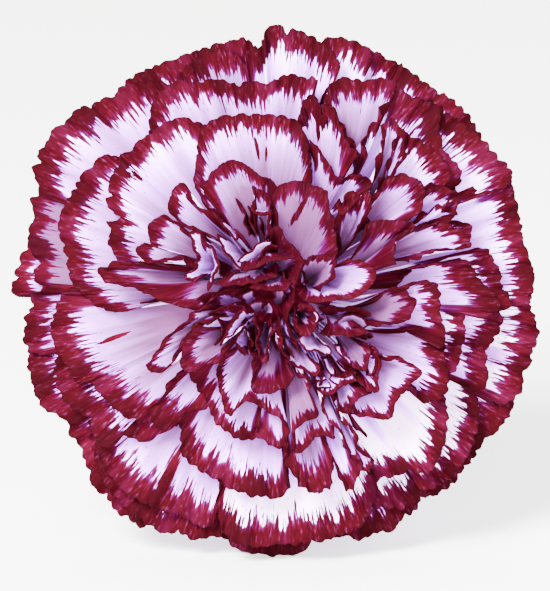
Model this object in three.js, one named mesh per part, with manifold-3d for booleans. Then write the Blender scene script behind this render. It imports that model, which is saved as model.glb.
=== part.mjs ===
// A cut carnation: a double bloom, white with a crimson margin on every petal, in its green
// calyx on a short length of leafy stem. It lies on a table: the lowest guard petals and the
// cut end of the stem touch the surface, and the face of the bloom tips up a little.
// Millimetres, +Z up, the stem runs back along +Y and the bloom faces -Y.
import * as THREE from 'three';
import { mergeVertices } from 'three/addons/utils/BufferGeometryUtils.js';
import Module from 'manifold-3d';

const wasm = await Module();
wasm.setup();

// Driving sizes, in mm and degrees. Heights along the flower's axis ("rise") are measured
// from the plane of the guard petals, and grow towards the eye of the bloom.
const FACE_TILT = 14;             // how far the face of the bloom tips up from upright
const BLOOM_PLACE = [0.4, -69.75, 41.4];  // middle of the guard petals above the table
const FIT_GAP = 0.3;              // between touching pieces

const PETAL_THICKNESS = 0.68;     // thicker than life, so that every blade is a sound solid
const PETAL_ROWS = [0, 0.5, 0.78, 1];  // places of the facets from a petal's root to its rim
const COLUMN_SPACING = 6.2;       // between the facets along a rim
const FEWEST_COLUMNS = 3;
const MOST_COLUMNS = 11;
const MIDDLE_RADIUS = 5.2;        // usual place that a blade fans out from, off the axis
const MIDDLE_RISE = [-3.5, 0.75];  // of that place: for a rim at 0, and more per mm of the rim's rise
const ROOT_RADIUS = 3;            // of the ring where the claws end
const ROOT_RISE = -4;
const ROOT_SPREAD = 0.04;         // width of a claw there, as a share of the rim's width
const MIDDLE_SPREAD = 0.12;       // the same at the middle of the blade
const STRAIGHT_SHARE = 0.45;      // how much of a blade keeps the slope of its rim
const RUFFLE_HEIGHT = 0.7;        // of the waves along a petal's rim
const RUFFLE_LENGTH = 10.5;       // from crest to crest
const CORE_SIDES = 16;
const CORE_PROFILE = [[-7, 5.7], [-4, 5.9], [-1, 7.6], [4, 8.6], [10, 7.4], [15, 4.4]];  // rise, radius

const CALYX_PROFILE = [[-36, 2.9], [-34.8, 4.9], [-29, 6.4], [-20, 7.2], [-11, 7.4]];  // rise, radius
const CALYX_WALL = 0.8;
const CALYX_TEETH = 5;
const SIDES_PER_TOOTH = 8;
const TOOTH_LENGTH = 4.6;
const TOOTH_FLARE = 0.04;         // how far a tooth's tip leans out, as a share of the radius
const BRACTS = 4;
const FIRST_BRACT = 45;           // its direction round the stem
const BRACT_LENGTH = 10;
const BRACT_SPAN = 39;            // half of the angle that a bract covers at its base
const BRACT_TIP_SPAN = 2;
const BRACT_LIFT = 0.5;           // of the tip off the calyx

const STEM_RADIUS = 2.1;
const STEM_SIDES = 12;
const STEM_STEPS = 48;
// The stem's middle line: aside, back and down from the middle of the guard petals.
const STEM_ROUTE = [[0, 35.2, 8.8], [1, 68, 17.2], [1.6, 102, 25.6], [0.6, 134, 32.8], [-2.4, 164, 39.05]];
const STEM_NODES = [0.3, 0.72];   // places of the two nodes along the stem, from 0 to 1
const NODE_SWELLING = 1.1;        // extra radius of the stem at a node
const NODE_REACH = 0.022;         // how far along the stem it swells
const TOP_FLARE = 0.9;            // extra radius of the stem below the calyx
const TOP_FLARE_REACH = 0.03;
const CUT_SLANT = 2.4;            // how much further the cut end reaches on its underside

const LEAF_LENGTH = 58;
const LEAF_WIDTH = 5.6;
const LEAF_THICKNESS = 0.7;
const LEAF_STEPS = 12;
const LEAF_LEAN = [4, 44, 22];    // from the stem at the base, more by the middle, more at the tip
const LEAF_TIP_WIDTH = 0.5;
const LEAF_KEEL = 0.35;           // how far the edges bend up, as a share of half the width
const SHEATH_SPAN = 78;           // half of the angle that a leaf's base clasps
const SHEATH_SHARE = 0.16;        // of the leaf's length, until it stands free
const LEAF_PAIRS = [['upper', 125], ['lower', 25]];  // name, direction of the first leaf

// Each petal: name, rise of its rim, slope of its blade at the rim in degrees, width of its
// crimson margin in mm, the middle that its blade fans out from ([] for the usual one), and
// the points of its rim as seen from the front, x to the right and y up.
const PETALS = [
  // guard petals, the outermost ring
  ["guard_01", 0.2, -3, 3.4, [], [[-27, 30], [-25.6, 32.2], [-24, 34.1], [-21.4, 35.8], [-18.5, 36.9],
    [-15.3, 38], [-12, 39.3], [-9.4, 40.2], [-6.6, 40.6], [-5, 41.1], [-3.6, 40.3], [-2.6, 39], [-1.5, 37]]],
  ["guard_02", 1.4, -2, 3.4, [], [[-35.2, 14.8], [-37.4, 16.3], [-38.3, 18], [-39.1, 20], [-37.9, 21.3],
    [-38.3, 22.3], [-36.4, 24.5], [-36, 26], [-33.8, 27.3], [-32.6, 28.9], [-31.3, 30], [-29.8, 30.2],
    [-27.8, 31.2], [-25.8, 31.9], [-23.5, 33.5], [-20.5, 34.1], [-18, 34], [-16, 33]]],
  ["guard_03", -1.6, -28, 2.6, [], [[-35.5, 18.5], [-37.3, 17], [-38.2, 16.1], [-39.4, 15.1], [-39.6, 14],
    [-38.9, 12.5], [-39.6, 11], [-39.9, 10.3], [-39.2, 9.2], [-39, 7.6], [-38.6, 6], [-38.4, 4.6],
    [-39, 3.2], [-38.3, 1.8], [-37, 0], [-35.5, -1.5]]],
  ["guard_04", -3.4, -6, 2.2, [], [[-37.5, 9], [-39.4, 8.4], [-40.3, 7], [-41.2, 5.8], [-41.6, 4.3],
    [-42, 3], [-41.6, 2.4], [-42.4, 1.6], [-42.4, 0.3], [-41.5, -0.9], [-40.3, -0.7], [-39.2, -0.4],
    [-37.8, 0]]],
  ["guard_05", 1.2, 2, 2.4, [], [[-35.5, 1.5], [-37.5, 0.6], [-39.4, -0.3], [-39.1, -1.6], [-39.3, -2.5],
    [-40.1, -3.3], [-40.3, -4.3], [-40.1, -5], [-40.4, -6.3], [-40.5, -7.5], [-39.9, -8.8], [-38.6, -9.8],
    [-36.5, -10]]],
  ["guard_06", -0.2, -4, 3.6, [], [[-37, -6.5], [-38.8, -7.9], [-39.8, -9.2], [-39.7, -10.3], [-39.9, -11.5],
    [-39.5, -12.8], [-39.1, -13.8], [-39, -15], [-38.5, -16.3], [-37.9, -17.9], [-36.9, -19], [-35, -19.7],
    [-33.6, -20.6], [-31.8, -21.2]]],
  ["guard_07", -2, -5, 3.2, [], [[-30.5, -19.5], [-32.5, -20.5], [-33.3, -21.7], [-33, -23.2],
    [-31.4, -24.8], [-31.1, -26.2], [-30, -29], [-29.6, -30.6], [-28.8, -31.8], [-27.2, -33], [-26, -35],
    [-25, -35.8], [-24, -36], [-22.8, -37], [-21.7, -37.7], [-20.5, -37.2], [-18.5, -36.5]]],
  ["guard_08", 0, -2, 3.4, [], [[-28, -21], [-30, -23.5], [-29.4, -25], [-29, -27], [-28, -29.6],
    [-26.5, -32], [-24.6, -34.2], [-22.5, -36], [-20.3, -37.4], [-19.3, -38.3], [-17, -38.7],
    [-15.5, -38.6], [-13.4, -39.7], [-12, -39.9], [-10.5, -39.1], [-9.3, -39.3], [-8, -38.6],
    [-6.5, -37]]],
  ["guard_09", -2, -4, 3.6, [], [[-10.5, -37.5], [-8.7, -39], [-7.5, -40.3], [-6, -41.6], [-4.2, -42.6],
    [-2.6, -42.3], [-1, -42.9], [0.6, -42.9], [2.2, -42.8], [3.5, -42.4], [4.8, -42.1], [5.5, -40.9],
    [6, -39.5], [7, -37.5]]],
  ["guard_10", -0.8, -3, 3.4, [], [[7, -37], [9, -39.3], [11, -39.1], [13.4, -39.8], [15, -39.1],
    [16.5, -38.5], [18.8, -38.3], [19.8, -37.4], [20.6, -36.2], [22.4, -35.3], [23.4, -33.8],
    [23.3, -32.5], [22.5, -31]]],
  ["guard_11", -1, -5, 3.8, [], [[21.5, -31], [23.3, -32.8], [24.8, -32.9], [26.5, -32.1], [28.8, -30.8],
    [30, -29], [31.7, -27], [32.6, -25.4], [33.6, -24], [35.1, -22.9], [36.6, -21.1], [37.8, -19.8],
    [38.3, -18.3], [39, -16.8], [38.5, -15.5], [37, -14.5]]],
  ["guard_12", 0.2, 0, 3.2, [], [[39, 2], [40.5, 1], [41.2, -0.4], [41, -1.6], [41.3, -2.8], [42, -4],
    [42, -5.5], [42.7, -6.3], [42.1, -7.4], [41.9, -8.7], [41.1, -10], [41.3, -10.8], [41, -11.8],
    [40, -12.5], [39.9, -14], [39.8, -15.5], [38.8, -16.8], [37, -17.8], [35, -18]]],
  ["guard_13", 1.4, 2, 2.8, [], [[36.5, 19.5], [37.6, 19.8], [38, 18.3], [38.3, 16.5], [38.9, 14.6],
    [39.1, 12.8], [39.7, 11], [39.7, 9.5], [40.1, 7.8], [40.7, 6.3], [41.1, 4.6], [41.7, 3.6], [41.6, 2],
    [41.6, 0.7], [41.2, -0.6], [40.8, -1.9], [39, -2.2], [37.5, -1]]],
  ["guard_14", 0.6, -2, 3.2, [], [[18.5, 35], [20.3, 36.9], [21.6, 35.8], [22.9, 35.1], [24, 34],
    [25.2, 33.3], [26.2, 32.2], [27.2, 32], [28.7, 31.1], [30, 29.9], [31.1, 28.9], [32.2, 27.2],
    [33, 26], [33.4, 24.6], [34, 23]]],
  ["guard_15", -0.6, -3, 2.8, [], [[12.5, 38.6], [14.8, 39.4], [17.2, 38.3], [18.7, 37.5], [20.2, 36.8],
    [21.6, 35.8], [22.9, 35], [23.5, 34], [24, 32.5]]],
  ["guard_16", 1.4, 2, 2, [], [[7.2, 38.8], [7.4, 40], [8.2, 40.9], [10, 41.1], [12, 40.8], [13.7, 40.1],
    [15.3, 39], [15.8, 37.6], [15.2, 36.2], [14.6, 35]]],
  // second ring
  ["second_01", 3.8, 4, 2.2, [], [[-5, 36.2], [-4.4, 38.4], [-3.4, 39.4], [-2.3, 39.5], [-1.2, 40.1],
    [-1.4, 42], [-0.2, 43], [1, 42.9], [1.8, 41.9], [2.8, 42.4], [4.2, 42], [5.5, 41.4], [7.3, 40.3],
    [9, 38.9], [10.2, 37.4], [10.5, 36], [9.8, 34.5], [8.5, 33], [7.5, 31]]],
  ["second_02", 2, 2, 3, [], [[-17, 31.5], [-16, 33.8], [-14.8, 36], [-12.6, 37.8], [-10, 38.8],
    [-7.5, 39.1], [-6, 38.5], [-5.2, 37.2], [-4.2, 36], [-3.2, 34]]],
  ["second_03", 3.5, 2, 3.2, [], [[20, 32.8], [22, 31.5], [24.5, 31.2], [26.5, 30.1], [28, 28.6],
    [30.5, 27], [33.2, 24.8], [34.7, 23.4], [36, 21.6], [37.7, 20.3], [38, 18.8], [37.4, 17.2],
    [35.5, 16.7], [33.5, 16.4], [32.3, 16.6], [31.2, 17.5], [30, 18]]],
  ["second_04", 4.1, 4, 2.8, [], [[31.2, 5.5], [32.3, 7.1], [34.3, 7], [35.1, 5.3], [36.2, 3.4],
    [36.4, 1.2], [37.5, -0.3], [38.3, -1.6], [37.3, -2.5], [36.5, -2.9], [36.6, -4.8], [35.7, -6.7],
    [34.5, -8.3], [33.9, -9.2], [34.2, -11], [34.2, -13], [33.8, -15.1], [32.5, -15.4], [30.5, -15]]],
  ["second_05", 3.2, 3, 3.4, [], [[30.2, -12], [32, -15.5], [32.7, -18], [32.8, -20.3], [32.4, -22.5],
    [31.6, -24.8], [30.5, -26.8], [29, -28.8], [27, -30.4], [25, -31.6], [23.3, -31.5], [22, -29.5]]],
  ["second_06", 1.4, 1, 3, [], [[25.5, -28.5], [24.8, -30.3], [23.7, -31.6], [23, -33], [22, -34.1],
    [20.4, -34.8], [18.6, -34.6], [16.6, -34.7], [15, -34], [13.5, -32]]],
  ["second_07", 4.1, 3, 3, [], [[-8.9, -29], [-9, -31], [-9.3, -33.5], [-9, -36], [-8.3, -38.5],
    [-6.5, -40], [-4.5, -40.7], [-1.5, -40.6], [1, -40.2], [3.5, -40.4], [5.8, -40], [8, -39.8],
    [10, -39], [12.3, -38.4], [14.2, -37], [15.4, -35.2], [15.9, -33.3], [16.5, -31.3], [16, -29.8],
    [14, -28.5]]],
  ["second_08", 2.6, 2, 2.8, [], [[-30, -20.5], [-29.2, -22.5], [-28.7, -25], [-27.6, -28],
    [-25.6, -30.5], [-23.6, -32.4], [-21.3, -33.7], [-19.3, -34.7], [-17.5, -35.2], [-15.5, -35.7],
    [-13.6, -36.6], [-12, -37.6], [-10.3, -37.3], [-9.3, -35.8], [-8.6, -33.5], [-8.8, -31]]],
  ["second_09", 5, 3, 3.6, [], [[-34.6, -8.5], [-35.3, -10.8], [-35.4, -13], [-34.8, -15.5],
    [-33.3, -18], [-31.3, -19.4], [-29.8, -20], [-29.2, -22], [-28.6, -24], [-27, -24.9], [-25.6, -24.2],
    [-24.2, -22.9], [-22.6, -23.5], [-21, -23.9], [-19, -22.8], [-17, -22], [-15.8, -21.2], [-15, -20]]],
  // third ring
  ["third_01", 7.4, 4, 1.8, [], [[-20, 24], [-20.1, 26], [-20, 28.4], [-19.6, 30.5], [-18.6, 32],
    [-17, 33.3], [-15.3, 34], [-13, 33.7], [-11, 34.1], [-9, 34.1], [-7.3, 33.8], [-5.8, 33.2],
    [-4.8, 33.8], [-3, 33.8], [-1.3, 33.6], [0, 34.2], [1.3, 34.8], [3, 35], [4.5, 34.5], [6.3, 34.7],
    [7.1, 34], [6.2, 32.6], [5.2, 31.2], [4.2, 29.6]]],
  ["third_02", 6.8, 3, 3.2, [], [[16, 33], [17.5, 34], [19.2, 33.5], [20.6, 32.4], [22.2, 31.2],
    [24, 31], [25.4, 30.4], [26.3, 29.3], [26.4, 28], [26.2, 26.4], [26.6, 25], [27.1, 23.4],
    [28, 21.8], [28.9, 21], [29.7, 19.8], [30, 18.6], [29.5, 17.5], [28.3, 16.8]]],
  ["third_03", 7.7, 6, 1.6, [], [[26, 12.2], [27.5, 11.8], [28.8, 11.4], [30.2, 11.3], [31.3, 10.8],
    [31.8, 10], [31.4, 9], [31, 8]]],
  ["third_04", 7.4, 6, 3.2, [], [[19.5, 0.8], [21, 2.8], [23, 4.6], [25, 5.4], [27.3, 5.8],
    [29.5, 5.8], [31.2, 5], [32, 3.5], [33, 1.8], [34.3, 0.5], [35.6, -0.6], [36, -2], [35, -3.4],
    [33, -4.2], [31, -4]]],
  ["third_05", 9.2, 8, 2, [], [[25.5, -3.4], [27, -3], [28.6, -2.9], [30.2, -3.2], [30.5, -5],
    [30.3, -7], [29.8, -8.3], [29.8, -9.7], [29.4, -11], [29.2, -12.2], [28.2, -13.2], [27.8, -14.4],
    [27, -15.5]]],
  ["third_06", 8, 4, 2.2, [], [[26.2, -12], [27.3, -14.5], [27.3, -17], [27.8, -19.6], [27.6, -21.5],
    [27.1, -24], [26.3, -26], [25.5, -27.7], [24.5, -29.6], [23.4, -29.2], [22.2, -28.4],
    [20.8, -28.7], [19, -29.4], [17.3, -29.7], [16, -29.3], [15.2, -28], [14.5, -26], [13.5, -23.5],
    [12, -21]]],
  ["third_07", 8.9, 5, 2.6, [], [[-15.3, -19.5], [-15.4, -21.5], [-15.2, -23.5], [-15.3, -25.2],
    [-14.3, -26.6], [-13, -27.8], [-12, -28.5], [-10.5, -29.2], [-9, -30], [-7.7, -31], [-6.5, -31.6],
    [-5, -32], [-3.8, -32.7], [-2, -32.6], [-0.2, -32.9], [1.2, -32.4], [1.5, -31.3], [1.2, -30],
    [1.1, -28.5]]],
  ["third_08", 8.3, 3, 2.8, [], [[-33, 1], [-34.6, -1], [-35.2, -3], [-35.9, -5], [-35.7, -6.8],
    [-35.2, -8.6], [-34, -10.6], [-33, -12], [-32.3, -14], [-31, -14.4], [-29.6, -14.3],
    [-28.3, -15.8], [-26.8, -17.3], [-25.4, -18.8], [-23.8, -20], [-22, -20.4], [-20.5, -20.5],
    [-19.6, -19.2], [-19, -17.5]]],
  ["third_09", 8.6, 4, 2, [], [[-21, 24], [-23.3, 22.7], [-25, 21.9], [-27.4, 22], [-29.2, 20.6],
    [-31, 18.8], [-32.2, 16.8], [-33.6, 14.3], [-34.3, 12.3], [-34.6, 10.8], [-34.2, 8.3],
    [-33.5, 5.8], [-33, 3.5], [-32.2, 1.2], [-30.3, -0.6], [-28.4, -2.2], [-26.3, -3.1], [-24, -3.2],
    [-22, -2], [-19.5, -0.8]]],
  // fourth ring
  ["fourth_01", 12.5, 6, 1.8, [], [[-10.8, 26.9], [-12.4, 27.3], [-14.2, 27.9], [-16, 27.7], [-18, 26.8],
    [-20, 25.3], [-21.6, 24.3], [-23.2, 22.7], [-24.9, 21.8], [-25.1, 20.2], [-26, 19], [-26.5, 16.9],
    [-26, 15.6], [-26.9, 14.9], [-26, 13.2], [-24.6, 12.1], [-25.2, 11.5], [-26.9, 11.5], [-26.2, 9.9],
    [-26.8, 8.4], [-25.8, 6.6], [-24.7, 5], [-23, 4.9], [-21.6, 5.2]]],
  ["fourth_02", 14, 8, 1.3, [], [[-6.3, 8.6], [-8, 11], [-9.7, 12.8], [-11.4, 14], [-12.6, 16.2],
    [-13.1, 18.4], [-13, 20.2], [-12.6, 22], [-12.3, 24], [-11.8, 25.8], [-11, 27], [-9.7, 27.6],
    [-8, 28.2], [-6, 28.5], [-3, 28.5], [-0.5, 28.5], [1.5, 28.2], [3, 27.6], [4, 26.7], [4.6, 25],
    [5.1, 23.5], [5.4, 22], [5.6, 20.5], [5.8, 19], [5.9, 17.8]]],
  ["fourth_03", 10.4, 10, 1.8, [13.6, 19], [[13.6, 21.7], [12.3, 23.5], [11, 25.1], [10.3, 27],
    [9.6, 28.7], [8.8, 30.2], [8.3, 32], [9.3, 33.6], [10.8, 34.3], [12.5, 34.3], [14.2, 34],
    [16, 34.4], [17.6, 34.3], [19.2, 33.6], [19.4, 32], [18.3, 29.8], [17.6, 28.3], [16.3, 27.3],
    [15.3, 25.8], [15, 24], [14.8, 22]]],
  ["fourth_04", 11.6, 12, 1.6, [9, 16.5], [[5.7, 24.2], [4.6, 26.2], [4, 28], [4.6, 29.6], [5.5, 31.4],
    [6.3, 30.6], [6.8, 29.3], [7.7, 30], [8.7, 29.5], [9.7, 28], [10.4, 26.5], [11, 25.2],
    [12.3, 23.6], [13.4, 22]]],
  ["fourth_05", 11, 6, 2.6, [17.5, 15], [[17.3, 18.2], [18, 20], [19.2, 22], [19.9, 24], [20.3, 25.6],
    [21.8, 25], [23.2, 24.4], [24.6, 23.4], [26, 22.4], [27.2, 21], [28, 19.4], [27.8, 17.8],
    [26.3, 17], [25, 16.6]]],
  ["fourth_06", 12.8, 14, 1.2, [17.2, 16], [[16.3, 21.3], [16.9, 23.5], [16.8, 25.5], [16.9, 27.3],
    [18.3, 28], [19.6, 27.6], [20.1, 26.2], [20.4, 24.6], [20.2, 23.2], [19.3, 21.5], [18.2, 20],
    [17.5, 19]]],
  ["fourth_07", 12.2, 10, 1.4, [20, 11], [[23.5, 16.5], [25, 16.8], [26.5, 17], [28, 16.8], [29, 16.2],
    [29.4, 15], [29.2, 13.8], [28.7, 12.9], [28.4, 12], [27.6, 11.2]]],
  ["fourth_08", 12.5, 8, 1.3, [14, 5], [[19.8, 9], [20.5, 10.2], [22.5, 10.1], [24, 10.6], [26, 10.9],
    [27.8, 11], [28.6, 10.3], [29.8, 9.9], [31, 9.3], [31.3, 8], [31, 6.6], [29.3, 6.7],
    [27.3, 6.4], [25, 5.8], [23, 5], [21.4, 4.4]]],
  ["fourth_09", 13.4, 6, 1.6, [14, -2], [[21.3, 0.7], [21.8, 1.6], [23.5, 1.6], [25.6, 1.6],
    [26.3, 0.2], [26.4, -1.5], [26.3, -3.2], [26.9, -4.5], [27.1, -6.3], [27, -8], [26, -8.8]]],
  ["fourth_10", 12.2, 6, 1.7, [12, -7], [[20.5, -6], [22.2, -5.7], [23.8, -5.5], [25.3, -5.3],
    [26.7, -6], [27, -8.3], [27.2, -11], [27.6, -13.5], [27.4, -15.8], [26, -17], [24.3, -17.3],
    [23.3, -16.3], [22.4, -15.2], [21, -15.6]]],
  ["fourth_11", 12.2, 8, 1.6, [], [[14.6, -28.6], [14, -28.2], [13.4, -29.6], [13, -30.4],
    [12.6, -31.2], [11.8, -31.7], [11.2, -31.8], [10.7, -30.8], [10.2, -29.4], [9.4, -27.5],
    [8.4, -26.2], [8.1, -25]]],
  ["fourth_12", 12.8, 6, 3, [], [[9.4, -26], [9.4, -28], [9.3, -29.8], [8.8, -31.3], [8, -31.1],
    [7.3, -31.9], [6, -31.8], [4.9, -31.2], [3.7, -29.9], [2.6, -28], [2.2, -26], [2.3, -23.5]]],
  ["fourth_13", 12.8, 8, 2, [], [[-14.1, -12.7], [-13.2, -14.5], [-12.3, -15.7], [-11, -16.7],
    [-10.5, -18.3], [-9.8, -20], [-9, -21.3], [-7.5, -22.4], [-6, -23.4], [-4.3, -23.6], [-3.1, -23],
    [-3, -21.9]]],
  ["fourth_14", 11.3, 8, 1.8, [], [[-14.6, -12.7], [-16.4, -14], [-17.8, -15.6], [-19.1, -17.4],
    [-19.9, -19.4], [-19.4, -21], [-17.8, -22], [-16.3, -21.3], [-15, -20.2], [-13.5, -19],
    [-12.3, -18.9], [-11, -18.3]]],
  ["fourth_15", 13.7, 10, 1.8, [], [[-2.4, -21], [-2.7, -22.7], [-1.6, -23.5], [-0.4, -24.4],
    [0.9, -24.9], [2.1, -24.8], [2.4, -23.5]]],
  // inner petals, standing up round the eye
  ["inner_01", 18.5, 12, 1.4, [-6, 7], [[-10, 9.2], [-12, 10], [-14.2, 10.7], [-15.7, 12], [-16.6, 13.6],
    [-16.8, 15.2], [-16.2, 16.4], [-15.1, 17.6], [-14.2, 16.2], [-13, 14.8], [-11.3, 13.4],
    [-9.8, 12]]],
  ["inner_02", 18.2, 14, 1.4, [], [[-11.3, 15.5], [-11.3, 17.3], [-10.6, 18.7], [-9.5, 19.8],
    [-8, 20.8], [-6.4, 21], [-5, 20.6], [-3.7, 19.8], [-2.3, 18.6], [-1.2, 18.1], [-0.4, 17.4],
    [0.4, 16.8]]],
  ["inner_03", 17.9, 12, 1.4, [-8, 4.5], [[-14.5, 10.4], [-15.7, 11.6], [-17, 12.4], [-18.6, 11.9],
    [-19.8, 11.1], [-20.3, 9.7], [-19.9, 8.3], [-19.7, 7.2], [-20.8, 7.9], [-22, 7.2], [-22.1, 6.4],
    [-21.3, 5.3], [-19.5, 5.1], [-17.3, 5.2], [-15.3, 4.8], [-13.5, 4.3]]],
  ["inner_04", 15.8, 6, 2, [-8, 2.5], [[-19, 5], [-22, 5], [-25, 4.6], [-27.3, 4.5], [-28.3, 3.8],
    [-28.2, 2.9], [-27, 2.1], [-25, 1.4], [-23, 0.9], [-21, 0.3], [-19, 0], [-17, 0.7]]],
  ["inner_05", 15.5, 10, 1.3, [13, 9], [[14.2, 11], [15, 13], [15.6, 15], [16.6, 17], [18, 18.2],
    [20, 18.9], [21.8, 18.7], [23.2, 17.9], [23.6, 16.5], [23.6, 15], [23.4, 13.7], [22.8, 12.3],
    [21.5, 11.8]]],
  ["inner_06", 18.2, 16, 1.2, [13, 3], [[13.6, 9.5], [14.5, 10.8], [16.2, 11.4], [18.2, 11.5],
    [20, 11.8], [21.5, 11.3], [22.3, 10.2], [20.8, 9.8], [19.8, 9], [19.2, 7.4], [18.8, 6],
    [19, 4.5]]],
  ["inner_07", 15.8, 8, 0.9, [11, -10], [[17, -9.8], [18.5, -9.9], [20, -10.2], [21.3, -11],
    [22.7, -11.8], [23.5, -12.5], [23.2, -13.2], [22.3, -13.8], [21.3, -14.8], [20.6, -15.8],
    [19.6, -16.8], [19, -17.8], [18.8, -18.8], [18.5, -19.8], [17.7, -20.1], [16.5, -20.1],
    [15, -19.8], [13.5, -19.7], [12.3, -19.4], [11, -19.2]]],
  ["inner_08", 17.6, 14, 1, [9.5, -12], [[15.5, -15.8], [14, -16.4], [12.9, -17.5], [12, -18.5],
    [11, -19], [10, -18.6], [9.7, -17]]],
  ["inner_09", 18.5, 12, 0.7, [12.5, -3.5], [[16.2, -1], [17.3, 0.2], [18.6, 1], [20, 0.8],
    [21.3, -0.2], [22.3, -1], [22.5, -2], [22, -3.1], [21.2, -4], [19.5, -4.6], [17.5, -4.8],
    [16, -5.1]]],
  ["inner_10", 16.1, 10, 0.8, [5.5, -9], [[9, -16.5], [9.8, -18.6], [11, -20.6], [12.3, -22.5],
    [13.8, -24.8], [15, -27], [15.2, -28.7], [14, -28], [12.8, -26], [11.4, -23.6], [10, -22.2],
    [8.6, -20], [7.2, -17.2], [6.2, -14.2]]],
  ["inner_11", 15.2, 10, 1.2, [], [[8, -19.6], [9, -20.8], [9.7, -22.2], [9.6, -23.3], [8.6, -22.9],
    [7.2, -22.8], [6, -23.4], [5.2, -24.6], [4.3, -25.3], [3.2, -25.3], [3, -24.2], [3.1, -22.5]]],
  ["inner_12", 16.4, 12, 0.9, [-2, -8], [[2.1, -23.5], [2, -22], [1.3, -20.8], [0, -19.8],
    [-1.3, -18.7], [-2.6, -17.8], [-4, -17.4], [-5.3, -17.7], [-6.3, -18.7], [-7, -19.7],
    [-7.9, -19], [-8.5, -17.3], [-8.9, -15], [-9.1, -12], [-8.9, -9.5]]],
  ["inner_13", 17.9, 8, 1.1, [-6, -2.5], [[-9.8, -3.8], [-11.8, -4.8], [-13.8, -6.3], [-15.3, -8.2],
    [-16.2, -10.2], [-16.6, -11.8], [-17.8, -12.5], [-19.4, -12.5], [-20.5, -11.7], [-18.8, -9.5],
    [-17.3, -7.5], [-15.5, -5.5], [-13.5, -3.7], [-11, -2.3]]],
  ["inner_14", 17.3, 8, 2, [-6, 3], [[-4, 0.6], [-5.5, 0.3], [-7.5, -0.4], [-9, -1], [-10.5, -1.7],
    [-12, -2.3], [-14, -2.5], [-16, -2], [-18, -1.3], [-19.5, -0.6], [-20, 0.4]]],
  ["inner_15", 19.7, 12, 1.6, [-5, -6], [[-8.4, -9], [-8.6, -10.6], [-9.8, -11.3], [-11.2, -11.9],
    [-12.8, -12.6], [-14.3, -12.5], [-15, -11], [-15, -9.3], [-14.3, -7.5], [-12.8, -6],
    [-10.5, -5]]],
  ["inner_16", 18.8, 16, 1, [0, -8], [[3.4, -13], [2.8, -14], [1.8, -14.8], [0.6, -15.5],
    [-0.5, -16.1], [-2, -16.3], [-3, -16.2], [-3.4, -15.3], [-3.6, -13.5], [-3.8, -11.5],
    [-3.8, -9.5]]],
  ["inner_17", 17.3, 12, 0.9, [1.5, -8], [[3, -11.8], [4.3, -13.3], [5.6, -15], [6.4, -17],
    [6.9, -18.7], [6.5, -19.6], [5, -20.3], [3.8, -21.2], [3.3, -22.5], [3, -24]]],
  ["inner_18", 20, 16, 1.8, [2, 2], [[-0.3, 12.5], [-0.5, 15], [0.2, 16.6], [1.3, 17.4], [2.8, 18],
    [4.2, 17.8], [5.4, 17.2], [7, 16.7], [8.4, 16.1], [8.7, 15], [8.3, 13.8], [8.9, 12.4],
    [9.4, 10.8], [9.8, 8.8], [9.9, 7], [9.6, 5.9]]],
  ["inner_19", 20.6, 16, 1.2, [-2, 6], [[-3.6, 14.5], [-3.8, 16], [-3.6, 17.1], [-2, 16.1], [-0.8, 15.2],
    [-0.1, 14], [-0.2, 12.9], [-1, 11.9], [-1.5, 10.5], [-1.8, 9]]],
  ["inner_20", 21.5, 14, 0.7, [5.4, 1.6], [[4.3, 3.2], [4.2, 5.4], [5.6, 6], [7.1, 5.9], [8.6, 6.1],
    [9.8, 6.2], [9.9, 4.8], [9.2, 3], [8.1, 1.1], [7.2, 0.1]]],
  // the tight curls of the eye
  ["heart_01", 21.5, 4, 1.1, [6.5, 2.5], [[11.6, 5], [13, 5.3], [14.4, 4.8], [15.9, 3.6], [15.8, 2],
    [14.8, 0.6], [13.6, -0.4], [12.3, -1], [11, -0.9], [9.8, -1.3], [8.3, -1.6], [6.5, -1.7],
    [4.8, -1.3], [3.4, -0.3]]],
  ["heart_02", 20.9, 20, 0.6, [-9, 5.5], [[-11.5, 9.8], [-13.6, 9.5], [-13.1, 8], [-12.8, 6.2],
    [-12.8, 4.6], [-13.4, 3.1], [-14.2, 2.2], [-12.5, 1.6]]],
  ["heart_03", 22.1, 20, 0.8, [-10.8, 4.5], [[-12, 9], [-10.8, 8], [-9.4, 7], [-8.7, 5.5], [-8.9, 3.7],
    [-9.5, 2.4], [-9.7, 1], [-10.3, 0]]],
  ["heart_04", 23.6, 0, 2.2, [-3.6, 7.6], [[-5.4, 4], [-4.6, 3.3], [-3.4, 3.6], [-2.2, 4.1], [-1.2, 4.6],
    [0.5, 4.9], [2, 5.2], [3.2, 5.4]]],
  ["heart_05", 23, 6, 2.2, [-0.2, 4.4], [[-0.6, 9.6], [0.2, 10.6], [1.2, 9.5], [2.2, 8.3], [3.5, 7],
    [4.4, 5.4], [4.2, 3.6], [3.6, 2], [3.2, 0.5]]],
  ["heart_06", 22.1, 6, 0.9, [-4, 5], [[-9.6, 1.3], [-8, 0.9], [-6, 1], [-4, 1.3], [-2, 1.6],
    [-0.6, 2], [0.6, 2.6]]],
  ["heart_07", 23, 4, 1.6, [0, 3.4], [[-4.2, 0.9], [-3, 0.4], [-1.5, 0.3], [0.2, 0.2], [1.8, 0.6],
    [2.8, 1.6]]],
  ["heart_08", 23.9, 0, 0.5, [-4, -4.6], [[-4.6, -2.6], [-5.9, -2.8], [-6.9, -3.9], [-7.6, -5.5],
    [-8.3, -7.4], [-8.7, -8.3], [-7.6, -7.6], [-6.4, -6.3], [-5.6, -4.6]]],
  ["heart_09", 21.5, 30, 0.8, [-4.8, -7.3], [[-4.1, -9.9], [-5.3, -9], [-5.9, -7.4], [-5.7, -5.9],
    [-5, -5], [-4.3, -5.7], [-4, -7.2], [-3.9, -8.6]]],
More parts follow.
